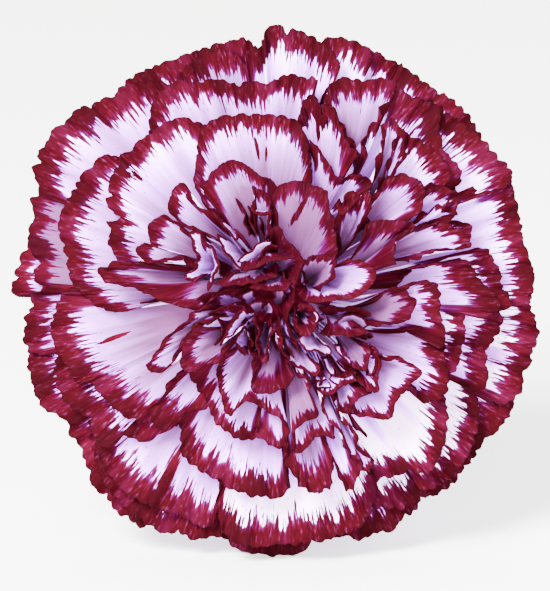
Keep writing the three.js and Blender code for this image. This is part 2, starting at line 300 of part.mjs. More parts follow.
  ["heart_10", 22.1, 20, 2, [-1, -6.4], [[-3.3, -3.4], [-3, -5.5], [-3.2, -7.7], [-2.5, -9.6],
    [-1.6, -10.8], [-0.9, -9], [-0.6, -6.8], [-0.2, -5], [0.9, -6], [1.2, -8], [1.9, -9.6],
    [2.8, -10.4]]],
  ["heart_11", 23.3, -20, 2, [4.9, -4.2, 24.5], [[3.4, -1.9], [4.6, -1.6], [5.8, -1.9], [6.6, -2.8],
    [6.9, -4], [6.6, -5.3], [5.9, -6.3], [4.9, -6.9], [3.9, -6.6], [3.2, -5.4], [2.9, -4]]],
  ["heart_12", 21.5, 0, 0.3, [5.8, -6.4], [[3.8, -6.9], [4.2, -8.2], [5.2, -9], [6.6, -9.3],
    [7.9, -9.9], [8.9, -9.6], [8.6, -8.6], [7.7, -7.8]]],
  ["heart_13", 19.4, 6, 2, [10.5, -3], [[6.9, -6.6], [8.5, -6.9], [10.3, -6.7], [12, -7.2],
    [13.5, -6.8], [14.8, -6]]],
  ["heart_14", 18.5, 8, 0.8, [11.6, -7.2], [[9.6, -8.6], [9.9, -9.4], [10.8, -10.4], [12, -11.5],
    [13.2, -12.3], [14.4, -12.3], [14.8, -11], [15, -9.3], [14.7, -7.9]]],
  ["heart_15", 17.9, 10, 1.8, [13.6, -10.5], [[14.9, -8], [16.2, -8.7], [16.6, -10], [16.9, -11.5],
    [16.2, -13], [16.3, -14.3], [16.7, -15.3], [15.9, -15.9], [14.7, -15.7], [13.8, -14.6],
    [13.2, -13.4]]],
  ["heart_16", 20, 8, 0.7, [3.2, -8.6], [[7, -11.4], [7.2, -12.6], [6.4, -13.3], [5.2, -12.8],
    [4, -12], [2.8, -11.3], [1.8, -10.3]]],
  ["heart_17", 18.2, 14, 0.9, [9, -10.6], [[12.2, -12.6], [12.8, -13.8], [11.5, -14.5], [10.2, -15.2],
    [9.2, -16.3], [8, -16.2], [6.8, -15.2], [7.1, -14], [6.4, -12.9]]],
  ["heart_18", 17.3, 14, 1.5, [11.6, 6], [[9.9, 8.4], [9.6, 10.4], [9.6, 12], [10.4, 13.8],
    [11.2, 15.8], [12.4, 16.2], [13.4, 15.4], [14.6, 16.3], [15.4, 15.4], [14.6, 13.6], [13.9, 12],
    [13.4, 10.4]]],
];

const TABLE_SIZE = 300;           // of the block that cuts the lowest rim level
const radians = THREE.MathUtils.degToRad;
// The flower's own frame has the face in x and y and its axis along z.
const flowerFrame = new THREE.Matrix4().makeRotationX(radians(90 - FACE_TILT)).setPosition(...BLOOM_PLACE);
const toFlower = flowerFrame.clone().invert();

// ---------- solids ----------

function geometryOf(points, triangles) {
  const geometry = new THREE.BufferGeometry();
  geometry.setAttribute('position', new THREE.Float32BufferAttribute(points.flatMap(p => p.toArray()), 3));
  geometry.setIndex(triangles.flat());
  return geometry;
}

// A body of revolution about z from a profile of heights and radii that ends on the axis.
function lathe(profile, sides) {
  const points = profile.map(([rise, radius]) => new THREE.Vector2(radius, rise));
  return new THREE.LatheGeometry(points, sides).rotateX(Math.PI / 2);
}

// One closed body through rings of equal length, with both ends capped from their middles.
function loft(rings) {
  const count = rings[0].length;
  const points = rings.flat();
  const triangles = [];
  for (let ring = 0; ring + 1 < rings.length; ring++) {
    for (let side = 0; side < count; side++) {
      const a = ring * count + side;
      const b = ring * count + (side + 1) % count;
      triangles.push([a, b, b + count], [a, b + count, a + count]);
    }
  }
  for (const [ring, turned] of [[0, true], [rings.length - 1, false]]) {
    const middle = points.length;
    const centre = new THREE.Vector3();
    rings[ring].forEach(p => centre.addScaledVector(p, 1 / count));
    points.push(centre);
    for (let side = 0; side < count; side++) {
      const a = ring * count + side;
      const b = ring * count + (side + 1) % count;
      triangles.push(turned ? [b, a, middle] : [a, b, middle]);
    }
  }
  return geometryOf(points, triangles);
}

// Unit normals of a grid of points, from the neighbours of each.
function gridNormals(grid) {
  const lastRow = grid.length - 1;
  const lastColumn = grid[0].length - 1;
  return grid.map((row, i) => row.map((p, j) => {
    const along = grid[i][Math.min(j + 1, lastColumn)].clone().sub(grid[i][Math.max(j - 1, 0)]);
    const out = grid[Math.min(i + 1, lastRow)][j].clone().sub(grid[Math.max(i - 1, 0)][j]);
    return along.cross(out).normalize();
  }));
}

// A blade: the grid thickened to both sides and closed along its edge. Both faces are split
// into triangles alike, so that they never cross where the blade is waved.
function blade(grid, thickness) {
  const rows = grid.length;
  const columns = grid[0].length;
  const normals = gridNormals(grid);
  const points = [];
  for (const side of [1, -1]) {
    grid.forEach((row, i) => row.forEach((p, j) => {
      points.push(p.clone().addScaledVector(normals[i][j], side * thickness / 2));
    }));
  }
  const back = rows * columns;
  const at = (i, j) => i * columns + j;
  const triangles = [];
  for (let i = 0; i + 1 < rows; i++) {
    for (let j = 0; j + 1 < columns; j++) {
      const [a, b, c, d] = [at(i, j), at(i, j + 1), at(i + 1, j + 1), at(i + 1, j)];
      triangles.push([a, b, c], [a, c, d], [back + a, back + c, back + b], [back + a, back + d, back + c]);
    }
  }
  const edge = [];
  for (let j = 0; j < columns; j++) edge.push(at(0, j));
  for (let i = 1; i < rows; i++) edge.push(at(i, columns - 1));
  for (let j = columns - 2; j >= 0; j--) edge.push(at(rows - 1, j));
  for (let i = rows - 2; i > 0; i--) edge.push(at(i, 0));
  edge.forEach((a, k) => {
    const b = edge[(k + 1) % edge.length];
    triangles.push([a, back + a, back + b], [a, back + b, b]);
  });
  return geometryOf(points, triangles);
}

function solid(geometry) {
  const bare = geometry.clone();
  bare.deleteAttribute('normal');
  bare.deleteAttribute('uv');
  const merged = mergeVertices(bare);
  return new wasm.Manifold(new wasm.Mesh({
    numProp: 3,
    vertProperties: new Float32Array(merged.attributes.position.array),
    triVerts: new Uint32Array(merged.index.array),
  }));
}

function geometryOfSolid(body) {
  const mesh = body.getMesh();
  const geometry = new THREE.BufferGeometry();
  geometry.setAttribute('position', new THREE.Float32BufferAttribute(mesh.vertProperties, 3));
  geometry.setIndex([...mesh.triVerts]);
  return geometry;
}

// ---------- bloom ----------

// Points evenly spaced along a smooth curve through the rim.
function rimPoints(rim, columns) {
  const curve = new THREE.CatmullRomCurve3(rim.map(([x, y]) => new THREE.Vector3(x, y, 0)), false, 'centripetal');
  return { length: curve.getLength(), points: curve.getSpacedPoints(columns) };
}

// A petal's blade rises from the core, leans out over its middle and ends at its rim.
function petal([, rise, slope, , middle, rim], index) {
  const { length } = rimPoints(rim, 1);
  const columns = THREE.MathUtils.clamp(Math.round(length / COLUMN_SPACING), FEWEST_COLUMNS, MOST_COLUMNS);
  const { points } = rimPoints(rim, columns);
  const centre = points.reduce((sum, p) => sum.addScaledVector(p, 1 / points.length), new THREE.Vector3());
  const usual = centre.clone().setLength(MIDDLE_RADIUS);
  const [x = usual.x, y = usual.y, z = MIDDLE_RISE[0] + MIDDLE_RISE[1] * rise] = middle;
  const hub = new THREE.Vector3(x, y, z);
  const root = new THREE.Vector3(x, y, 0).clampLength(0, ROOT_RADIUS).setZ(ROOT_RISE);
  const grid = PETAL_ROWS.map(t => points.map((p) => {
    const spread = p.clone().sub(centre);
    const end = p.clone().setZ(rise);
    const straight = new THREE.Vector3(p.x - x, p.y - y, 0).multiplyScalar(STRAIGHT_SHARE);
    const drop = straight.length() * Math.sin(radians(slope));
    const before = end.clone().addScaledVector(straight, -Math.cos(radians(slope)));
    before.z -= drop;
    return new THREE.CubicBezierCurve3(
      root.clone().addScaledVector(spread, ROOT_SPREAD),
      hub.clone().addScaledVector(spread, MIDDLE_SPREAD), before, end).getPoint(t);
  }));
  const normals = gridNormals(grid);
  grid.forEach((row, i) => row.forEach((p, j) => {
    const along = j * length / columns;
    const wave = Math.sin(2 * Math.PI * along / RUFFLE_LENGTH + index);
    p.addScaledVector(normals[i][j], RUFFLE_HEIGHT * wave * PETAL_ROWS[i] ** 3);
  }));
  return blade(grid, PETAL_THICKNESS);
}

// The claws of all petals, packed into one stalk in the calyx, and a small core above it.
function core() {
  const foot = CALYX_PROFILE[0][0] + CALYX_WALL + 2 * FIT_GAP;
  const stalk = CALYX_PROFILE.slice(1).map(([rise, radius]) => [rise, radius - CALYX_WALL - FIT_GAP]);
  const top = CORE_PROFILE.at(-1)[0];
  return lathe([[foot, 0], [foot, ROOT_RADIUS], ...stalk, ...CORE_PROFILE, [top, 0]], CORE_SIDES);
}

// The petals fused with the core. The lowest rim is cut level with the table, which gives the
// bloom a small flat spot to lie on, and any loose scrap of a rim is dropped.
function bloom() {
  const petals = PETALS.map((row, index) => solid(petal(row, index)));
  const fused = petals.reduce((sum, body) => sum.add(body), solid(core()));
  const table = new THREE.BoxGeometry(TABLE_SIZE, TABLE_SIZE, TABLE_SIZE)
    .translate(0, 0, -TABLE_SIZE / 2)
    .applyMatrix4(toFlower);
  const pieces = fused.subtract(solid(table)).decompose();
  const volumes = pieces.map(piece => piece.volume());
  return geometryOfSolid(pieces[volumes.indexOf(Math.max(...volumes))]);
}

// ---------- calyx and bracts ----------

// The radius of the calyx at a height, read off its profile.
function calyxRadius(rise) {
  const above = Math.max(1, CALYX_PROFILE.findIndex(([z]) => z >= rise));
  const [[z0, r0], [z1, r1]] = [CALYX_PROFILE[above - 1], CALYX_PROFILE[above]];
  return r0 + (r1 - r0) * (rise - z0) / (z1 - z0);
}

// A tube with a closed foot, an even wall and pointed teeth round its mouth.
function calyx() {
  const [[foot]] = CALYX_PROFILE;
  const mouth = CALYX_PROFILE.at(-1)[0];
  const inside = CALYX_PROFILE.slice(1).map(([rise, radius]) => [rise, radius - CALYX_WALL]).reverse();
  const floor = foot + CALYX_WALL;
  const tube = lathe([[foot, 0], ...CALYX_PROFILE, ...inside, [floor, ROOT_RADIUS], [floor, 0]],
    CALYX_TEETH * SIDES_PER_TOOTH);
  const position = tube.attributes.position;
  for (let k = 0; k < position.count; k++) {
    const p = new THREE.Vector3().fromBufferAttribute(position, k);
    if (p.z < mouth) continue;
    const turn = (Math.atan2(p.y, p.x) / (2 * Math.PI) + 1) * CALYX_TEETH;
    const height = 1 - Math.abs((turn % 1) - 0.5) * 2;
    p.multiplyScalar(1 + TOOTH_FLARE * height).setZ(mouth + TOOTH_LENGTH * height);
    position.setXYZ(k, p.x, p.y, p.z);
  }
  return tube;
}

// A broad scale that hugs the foot of the calyx and ends in a short point.
function bract(direction) {
  const grid = [0, 0.3, 0.55, 0.8, 1].map((t) => {
    const halfAngle = radians(BRACT_SPAN * (1 - t ** 2.2) + BRACT_TIP_SPAN);
    const rise = CALYX_PROFILE[1][0] + BRACT_LENGTH * t;
    const radius = calyxRadius(rise) + FIT_GAP + LEAF_THICKNESS / 2 + BRACT_LIFT * t;
    return [-1, -0.5, 0, 0.5, 1].map((side) => {
      const angle = radians(direction) + side * halfAngle;
      return new THREE.Vector3(radius * Math.cos(angle), radius * Math.sin(angle), rise);
    });
  });
  return blade(grid, LEAF_THICKNESS);
}

// ---------- stem and leaves ----------

const stemLine = new THREE.CatmullRomCurve3(STEM_ROUTE.map(([aside, back, down]) => (
  new THREE.Vector3(aside, back, -down).add(new THREE.Vector3(...BLOOM_PLACE)).applyMatrix4(toFlower))));

function stemRadius(t) {
  const swelling = STEM_NODES.map(node => Math.exp(-(((t - node) / NODE_REACH) ** 2)));
  const flare = TOP_FLARE * Math.exp(-((t / TOP_FLARE_REACH) ** 2));
  return STEM_RADIUS + flare + NODE_SWELLING * Math.max(...swelling);
}

// A place on the stem, with unit vectors there: sideways, upwards, and along to the bloom.
function stemFrame(t) {
  const toBloom = stemLine.getTangentAt(t).negate();
  const up = new THREE.Vector3(0, 1, 0).projectOnPlane(toBloom).normalize();
  return { place: stemLine.getPointAt(t), side: up.clone().cross(toBloom), up, toBloom };
}

function stem() {
  const rings = Array.from({ length: STEM_STEPS + 1 }, (_, k) => {
    const t = k / STEM_STEPS;
    const { place, side, up, toBloom } = stemFrame(t);
    const slant = k === STEM_STEPS ? CUT_SLANT / 2 : 0;
    return Array.from({ length: STEM_SIDES }, (_, j) => {
      const angle = 2 * Math.PI * j / STEM_SIDES;
      return place.clone()
        .addScaledVector(side, stemRadius(t) * Math.cos(angle))
        .addScaledVector(up, stemRadius(t) * Math.sin(angle))
        .addScaledVector(toBloom, slant * Math.sin(angle));
    });
  });
  return loft(rings.reverse());
}

// A narrow keeled leaf: its base clasps the stem at a node and its blade arches away.
function leaf(node, direction) {
  const { place, side, up, toBloom } = stemFrame(node);
  const angle = radians(direction);
  const away = side.clone().multiplyScalar(Math.cos(angle)).addScaledVector(up, Math.sin(angle));
  const across = toBloom.clone().cross(away);
  const clasp = stemRadius(node) + FIT_GAP + LEAF_THICKNESS / 2;
  const step = LEAF_LENGTH / LEAF_STEPS;
  let along = 0;
  let out = clasp;
  const grid = Array.from({ length: LEAF_STEPS + 1 }, (_, k) => {
    const t = k / LEAF_STEPS;
    const lean = radians(LEAF_LEAN[0] + LEAF_LEAN[1] * t ** 0.8 + LEAF_LEAN[2] * t ** 4);
    along += k > 0 ? step * Math.cos(lean) : 0;
    out += k > 0 ? step * Math.sin(lean) : 0;
    const taper = Math.min(1, 0.75 + 1.6 * t) * (1 - t ** 3) ** 0.8;
    const half = (LEAF_WIDTH * taper + LEAF_TIP_WIDTH) / 2;
    const opened = THREE.MathUtils.smoothstep(t, 0, SHEATH_SHARE);
    return [-1, -0.5, 0, 0.5, 1].map((f) => {
      const wrap = radians(SHEATH_SPAN * f);
      const clasped = away.clone().multiplyScalar(clasp * Math.cos(wrap))
        .addScaledVector(across, clasp * Math.sin(wrap));
      const free = away.clone().multiplyScalar(out - LEAF_KEEL * half * Math.abs(f))
        .addScaledVector(across, half * f);
      return clasped.lerp(free, opened).add(place).addScaledVector(toBloom, along);
    });
  });
  return blade(grid, LEAF_THICKNESS);
}

// ---------- the flower ----------

const petalWhite = new THREE.MeshStandardMaterial({ color: '#d9b3cc', roughness: 0.7 });
const calyxGreen = new THREE.MeshStandardMaterial({ color: '#8fa56a', roughness: 0.6 });
const bractGreen = new THREE.MeshStandardMaterial({ color: '#9bab78', roughness: 0.65 });
const stemGreen = new THREE.MeshStandardMaterial({ color: '#6f8a5c', roughness: 0.55 });
const leafGreen = new THREE.MeshStandardMaterial({ color: '#7d967c', roughness: 0.6 });

const carnation = new THREE.Group();
const flower = new THREE.Group();
flower.applyMatrix4(flowerFrame);
carnation.add(flower);

function add(name, geometry, material) {
  const mesh = new THREE.Mesh(geometry, material);
  mesh.name = name;
  flower.add(mesh);
}

add('bloom', bloom(), petalWhite);
add('calyx', calyx(), calyxGreen);
for (let k = 0; k < BRACTS; k++) {
  add(`bract_${k + 1}`, bract(FIRST_BRACT + 360 / BRACTS * k), bractGreen);
}
add('stem', stem(), stemGreen);
LEAF_PAIRS.forEach(([pair, direction], k) => {
  add(`leaf_${pair}_left`, leaf(STEM_NODES[k], direction), leafGreen);
  add(`leaf_${pair}_right`, leaf(STEM_NODES[k], direction + 180), leafGreen);
});

export default carnation;
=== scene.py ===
# A cut carnation lying on a table: a double bloom of white petals with crimson margins, in its
# green calyx on a short leafy stem. Every petal is its own thin, toothed and ruffled blade.
import math

import bpy
import numpy as np
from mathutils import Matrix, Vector


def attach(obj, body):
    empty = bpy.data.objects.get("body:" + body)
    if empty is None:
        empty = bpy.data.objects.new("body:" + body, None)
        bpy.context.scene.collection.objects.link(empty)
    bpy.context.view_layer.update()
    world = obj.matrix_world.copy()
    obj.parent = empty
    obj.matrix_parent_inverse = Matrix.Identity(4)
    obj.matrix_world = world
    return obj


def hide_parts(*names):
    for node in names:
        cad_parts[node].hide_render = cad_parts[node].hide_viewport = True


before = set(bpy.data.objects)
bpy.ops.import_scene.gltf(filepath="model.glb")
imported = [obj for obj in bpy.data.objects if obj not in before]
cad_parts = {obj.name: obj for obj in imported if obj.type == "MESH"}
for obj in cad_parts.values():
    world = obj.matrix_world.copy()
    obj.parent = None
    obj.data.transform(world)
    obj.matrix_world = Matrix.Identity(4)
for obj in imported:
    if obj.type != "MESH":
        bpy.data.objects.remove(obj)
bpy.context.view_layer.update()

# ---------------------------------------------------------------- sizes, in mm and degrees

# "Rise" is the height along the axis of the flower, from the middle of the guard petals.
FACE_TILT = math.radians(14)        # how far the face of the bloom tips up from upright
BLOOM_PLACE = (0.4, -69.75, 41.4)   # middle of the guard petals above the table
LOWEST_POINT = 0.22                 # of a petal's middle surface that lies on the table
BENT_BELOW = 1.0                    # petals that come nearer to the table bend up along it

PETAL_THICKNESS = 0.26
COLUMN_SPACING = 0.34               # between the mesh columns along a rim
FEWEST_COLUMNS = 14
PETAL_ROWS = 30                     # from the root to the rim
ROW_CROWDING = 1.7                  # above 1, rows lie closer together near the rim
TOOTH_SPACING = 2.0                 # of the teeth that a rim is cut into
TOOTH_DEPTH = 0.75
NICK_SPACING = 0.83                 # of the small nicks between the teeth
NICK_DEPTH = 0.14
CRIMP = (0.34, 1.6)                 # uneven crimp of a rim: height, and how far in it fades
FRILL = (0.42, 2.4)                 # waves along a rim: height, and how far in they fade
FRILL_LENGTH = 3.1
LOOSE_RUFFLE = (0.6, 0.3, 6.5)      # of the inner petals: height of waves, of noise, wave length
FULL_FOLD = 0.9                     # height of a ruffle that the material paints with its full highlight or shade
MIDDLE_RADIUS = 5.2                 # usual place that a blade fans out from, off the axis
MIDDLE_RISE = (-3.5, 0.75)          # of that place: for a rim at 0, and more per mm of rise
ROOT_RADIUS = 3.0
ROOT_RISE = -4.0
ROOT_SPREAD = 0.04                  # width of the root and of the middle as a share of the rim's
MIDDLE_SPREAD = 0.12
STRAIGHT_SHARE = 0.45               # share of a blade that runs straight to the rim
BLADE_SLACK = 1.25                  # a curved blade's length, as a share of its straight way out
SHORTEST_BLADE = 3

# The dome that the rims lie near: radius and rise. A rim may stand FREE_RISE out of it, and of
# what it would stand out further it leans back LEAN_BACK.
DOME = ((0, 23.5), (10, 22), (18, 18), (26, 13), (31, 9), (36, 5), (42, 1), (50, -2))
FREE_RISE = 3.6
LEAN_BACK = 0.65

# Profiles of turned bodies: rise and radius.
CLAWS_PROFILE = ((-34.6, 3.2), (-33, 4.3), (-28, 5.4), (-20, 6), (-11, 6.2), (-7, 5.7), (-4, 5.9),
                 (-1, 7.6), (4, 8.6), (8, 7.2), (12, 3.2))
CORE_RISE = -3                      # above it the claws open into the folded core
CLAW_FOLDS = 23
CALYX_PROFILE = ((-36, 2.9), (-34.8, 4.9), (-29, 6.4), (-20, 7.2), (-11, 7.4))
CALYX_WALL = 0.6
CALYX_TEETH = 5
CALYX_RIB = 0.06
CALYX_RIBS = 35
TOOTH_LENGTH = 4.6
BRACT_LENGTH = 10
BRACT_HALF_ANGLE = 39
BRACT_GAP = 0.5                     # between its middle surface and the calyx
STEM_RADIUS = 2.1
STEM_LENGTH = 130
# The stem's route from the middle of the bloom: sideways, back, and down.
STEM_ROUTE = ((0, 35.2, 8.8), (1, 68, 17.2), (1.6, 102, 25.6), (0.6, 134, 32.8), (-2.4, 164, 39.05))
STEM_NODES = (0.3, 0.72)            # their places as shares of the stem's length
NODE_SWELLING = (1.1, 0.022)        # more radius, and half its length as a share of the stem
TOP_SWELLING = (0.9, 0.03)
STEM_RIB = 0.035
STEM_RIBS = 9
CUT_SLANT = 2.4
CUT_RINGS = ((0.1, 0.1), (0.45, 0.12), (0.8, 0.1), (0.93, 0.02))  # share of the radius, depth
LEAF_LENGTH = 58
LEAF_WIDTH = 5.6
LEAF_LEAN = (4, 44, 22)             # away from the stem: at its foot, more along it and at its tip
# Pairs of leaves: place on the stem, and direction of the left one round it.
LEAF_PAIRS = (("upper", 0.3, 125), ("lower", 0.72, 25))

# Lamps are soft squares: place from the bloom and width in metres, and power in watts.
LAMPS = (
    ("key", (-0.42, -0.85, 0.72), 0.4, 145),
    ("front", (0.02, -1.15, 0.3), 0.35, 34),
    ("fill", (0.75, -0.75, 0.3), 0.6, 16),
    ("top", (0.0, 0.25, 0.95), 0.8, 16),
)
SKY_STRENGTH = 2.4
FLOOR_HALF_WIDTH = 4                # metres
LOOK_AT = (0.0, -0.4, 0.0)          # where lamps and camera look, in the flower's own frame
CAMERA_DISTANCE = 1.2               # metres from there, along the axis of the bloom
PICTURE_HEIGHT = 0.09456            # metres that the picture takes in at the bloom

# How the petals of each ring differ. Teeth, nicks, the margin's needles, ruffles and margin are shares of
# their usual size, pleats a height, and shade is how far painted shade turns the white to mauve.
RINGS = {
    "guard": dict(teeth=1, nicks=1, needles=1, ruffles=1, pleats=0.36, margin=1.05, shade=0.04),
    "second": dict(teeth=1, nicks=1, needles=1, ruffles=1, pleats=0.36, margin=1.15, shade=0.04),
    "third": dict(teeth=0.9, nicks=1, needles=1, ruffles=1, pleats=0.36, margin=1.2, shade=0.08),
    "fourth": dict(teeth=0.75, nicks=1, needles=1, ruffles=1, pleats=0.36, margin=1.3, shade=0.2),
    "inner": dict(teeth=0.35, nicks=1, needles=0.8, ruffles=0.8, pleats=0.5, margin=1.32, shade=0.5),
    "heart": dict(teeth=0.18, nicks=1, needles=0.6, ruffles=0.5, pleats=0.5, margin=0.9, shade=0.35),
    "curl": dict(teeth=0.1, nicks=0.3, needles=0.4, ruffles=0.25, pleats=0.5, margin=0.85, shade=0.15),
}
# Waves round each outer ring, so that petals that lie on each other wave together.
RING_WAVES = {
    "guard": dict(count=23, height=0.75, phase=0.4),
    "second": dict(count=21, height=0.8, phase=1.9),
    "third": dict(count=18, height=0.8, phase=3.1),
    "fourth": dict(count=14, height=0.7, phase=4.4),
}
# Painted shade of single petals whose white differs from their ring's: 0 is white, 0.5 mauve, 1 maroon. Below
# 0 a petal loses the tinge of its veins too, and above 1 its mauve reaches up to the margin.
SHADES = {
    "guard_02": 0.1, "guard_03": 1.4, "guard_05": 0.35, "guard_06": 0.2, "guard_12": -0.2,
    "guard_13": -0.05,
    "second_01": 0.0, "second_02": 0.5, "second_05": -0.4, "second_06": -0.4, "second_07": -0.25,
    "third_01": 0.35, "third_02": 0.08, "third_05": 0.05, "third_06": -0.4, "third_08": 0.24,
    "third_09": 0.25,
    "fourth_01": 0.12, "fourth_02": 0.25, "fourth_03": 0.56, "fourth_05": 0.15, "fourth_06": 0.6,
    "fourth_07": 0.4, "fourth_08": 0.45, "fourth_09": 0.35, "fourth_12": 0.55, "fourth_14": 0.0,
    "fourth_17": 0.9,
    "inner_01": 0.25, "inner_02": 0.65, "inner_05": 0.55, "inner_06": 0.85, "inner_08": 0.6,
    "inner_09": 1.6, "inner_11": 0.75, "inner_12": 0.2, "inner_15": 0.65, "inner_16": 1.0,
    "inner_17": 1.6, "inner_18": 0.85, "inner_19": 0.65, "inner_20": 0.85,
    "heart_01": 0.15, "heart_02": 0.0, "heart_04": 0.7, "heart_05": 0.9, "heart_06": 0.7,
    "heart_07": 1.0, "heart_08": 0.0, "heart_10": 1.0, "heart_12": 0.5, "heart_14": 1.1,
    "heart_16": 0.6,
    "curl_08": 0.0, "curl_18": 0.9, "curl_19": 0.5, "curl_20": 0.9, "curl_22": 0.7, "curl_25": 0.8,
    "curl_31": 0.1, "curl_33": 0.0, "curl_34": 0.0,
}
CENTRE_SHADE = 0.5                  # painted shade added near the axis
CENTRE_RADII = (8, 30)              # all of it within the first, none beyond the second
BACK_SHADE = 0.05                   # the most painted shade on the back of a petal

# Stray flecks of the margin's crimson inside some petals: from, to, and half their width.
FLECKS = {
    "fourth_02": (((-3.3, 25.2), (-2.4, 20.8), 0.34), ((-2.8, 27), (-2.2, 24.4), 0.22),
                  ((-1.3, 23.4), (-1.4, 20.5), 0.3)),
    "fourth_01": (((-22.9, 19.4), (-20.8, 17.5), 0.3), ((-24.2, 19.7), (-22.6, 17.9), 0.34)),
    "inner_18": (((5.2, 15.3), (2.0, 10.2), 0.55),),
    "inner_02": (((-6.3, 15.1), (-4.7, 12.3), 0.4),),
    "third_08": (((-28.6, -8.3), (-22.6, -5.9), 0.42),),
    "second_08": (((-14.9, -24.3), (-19, -33.5), 1.0),),
    "guard_12": (((35.6, -7.9), (38.8, -8.5), 0.35),),
    "fourth_10": (((22.9, -7.8), (26.6, -9), 0.35), ((26.4, -9), (27.1, -10.4), 0.3)),
}
NO_FLECK = 5.0                      # the fleck field outside them; it is below 1 inside

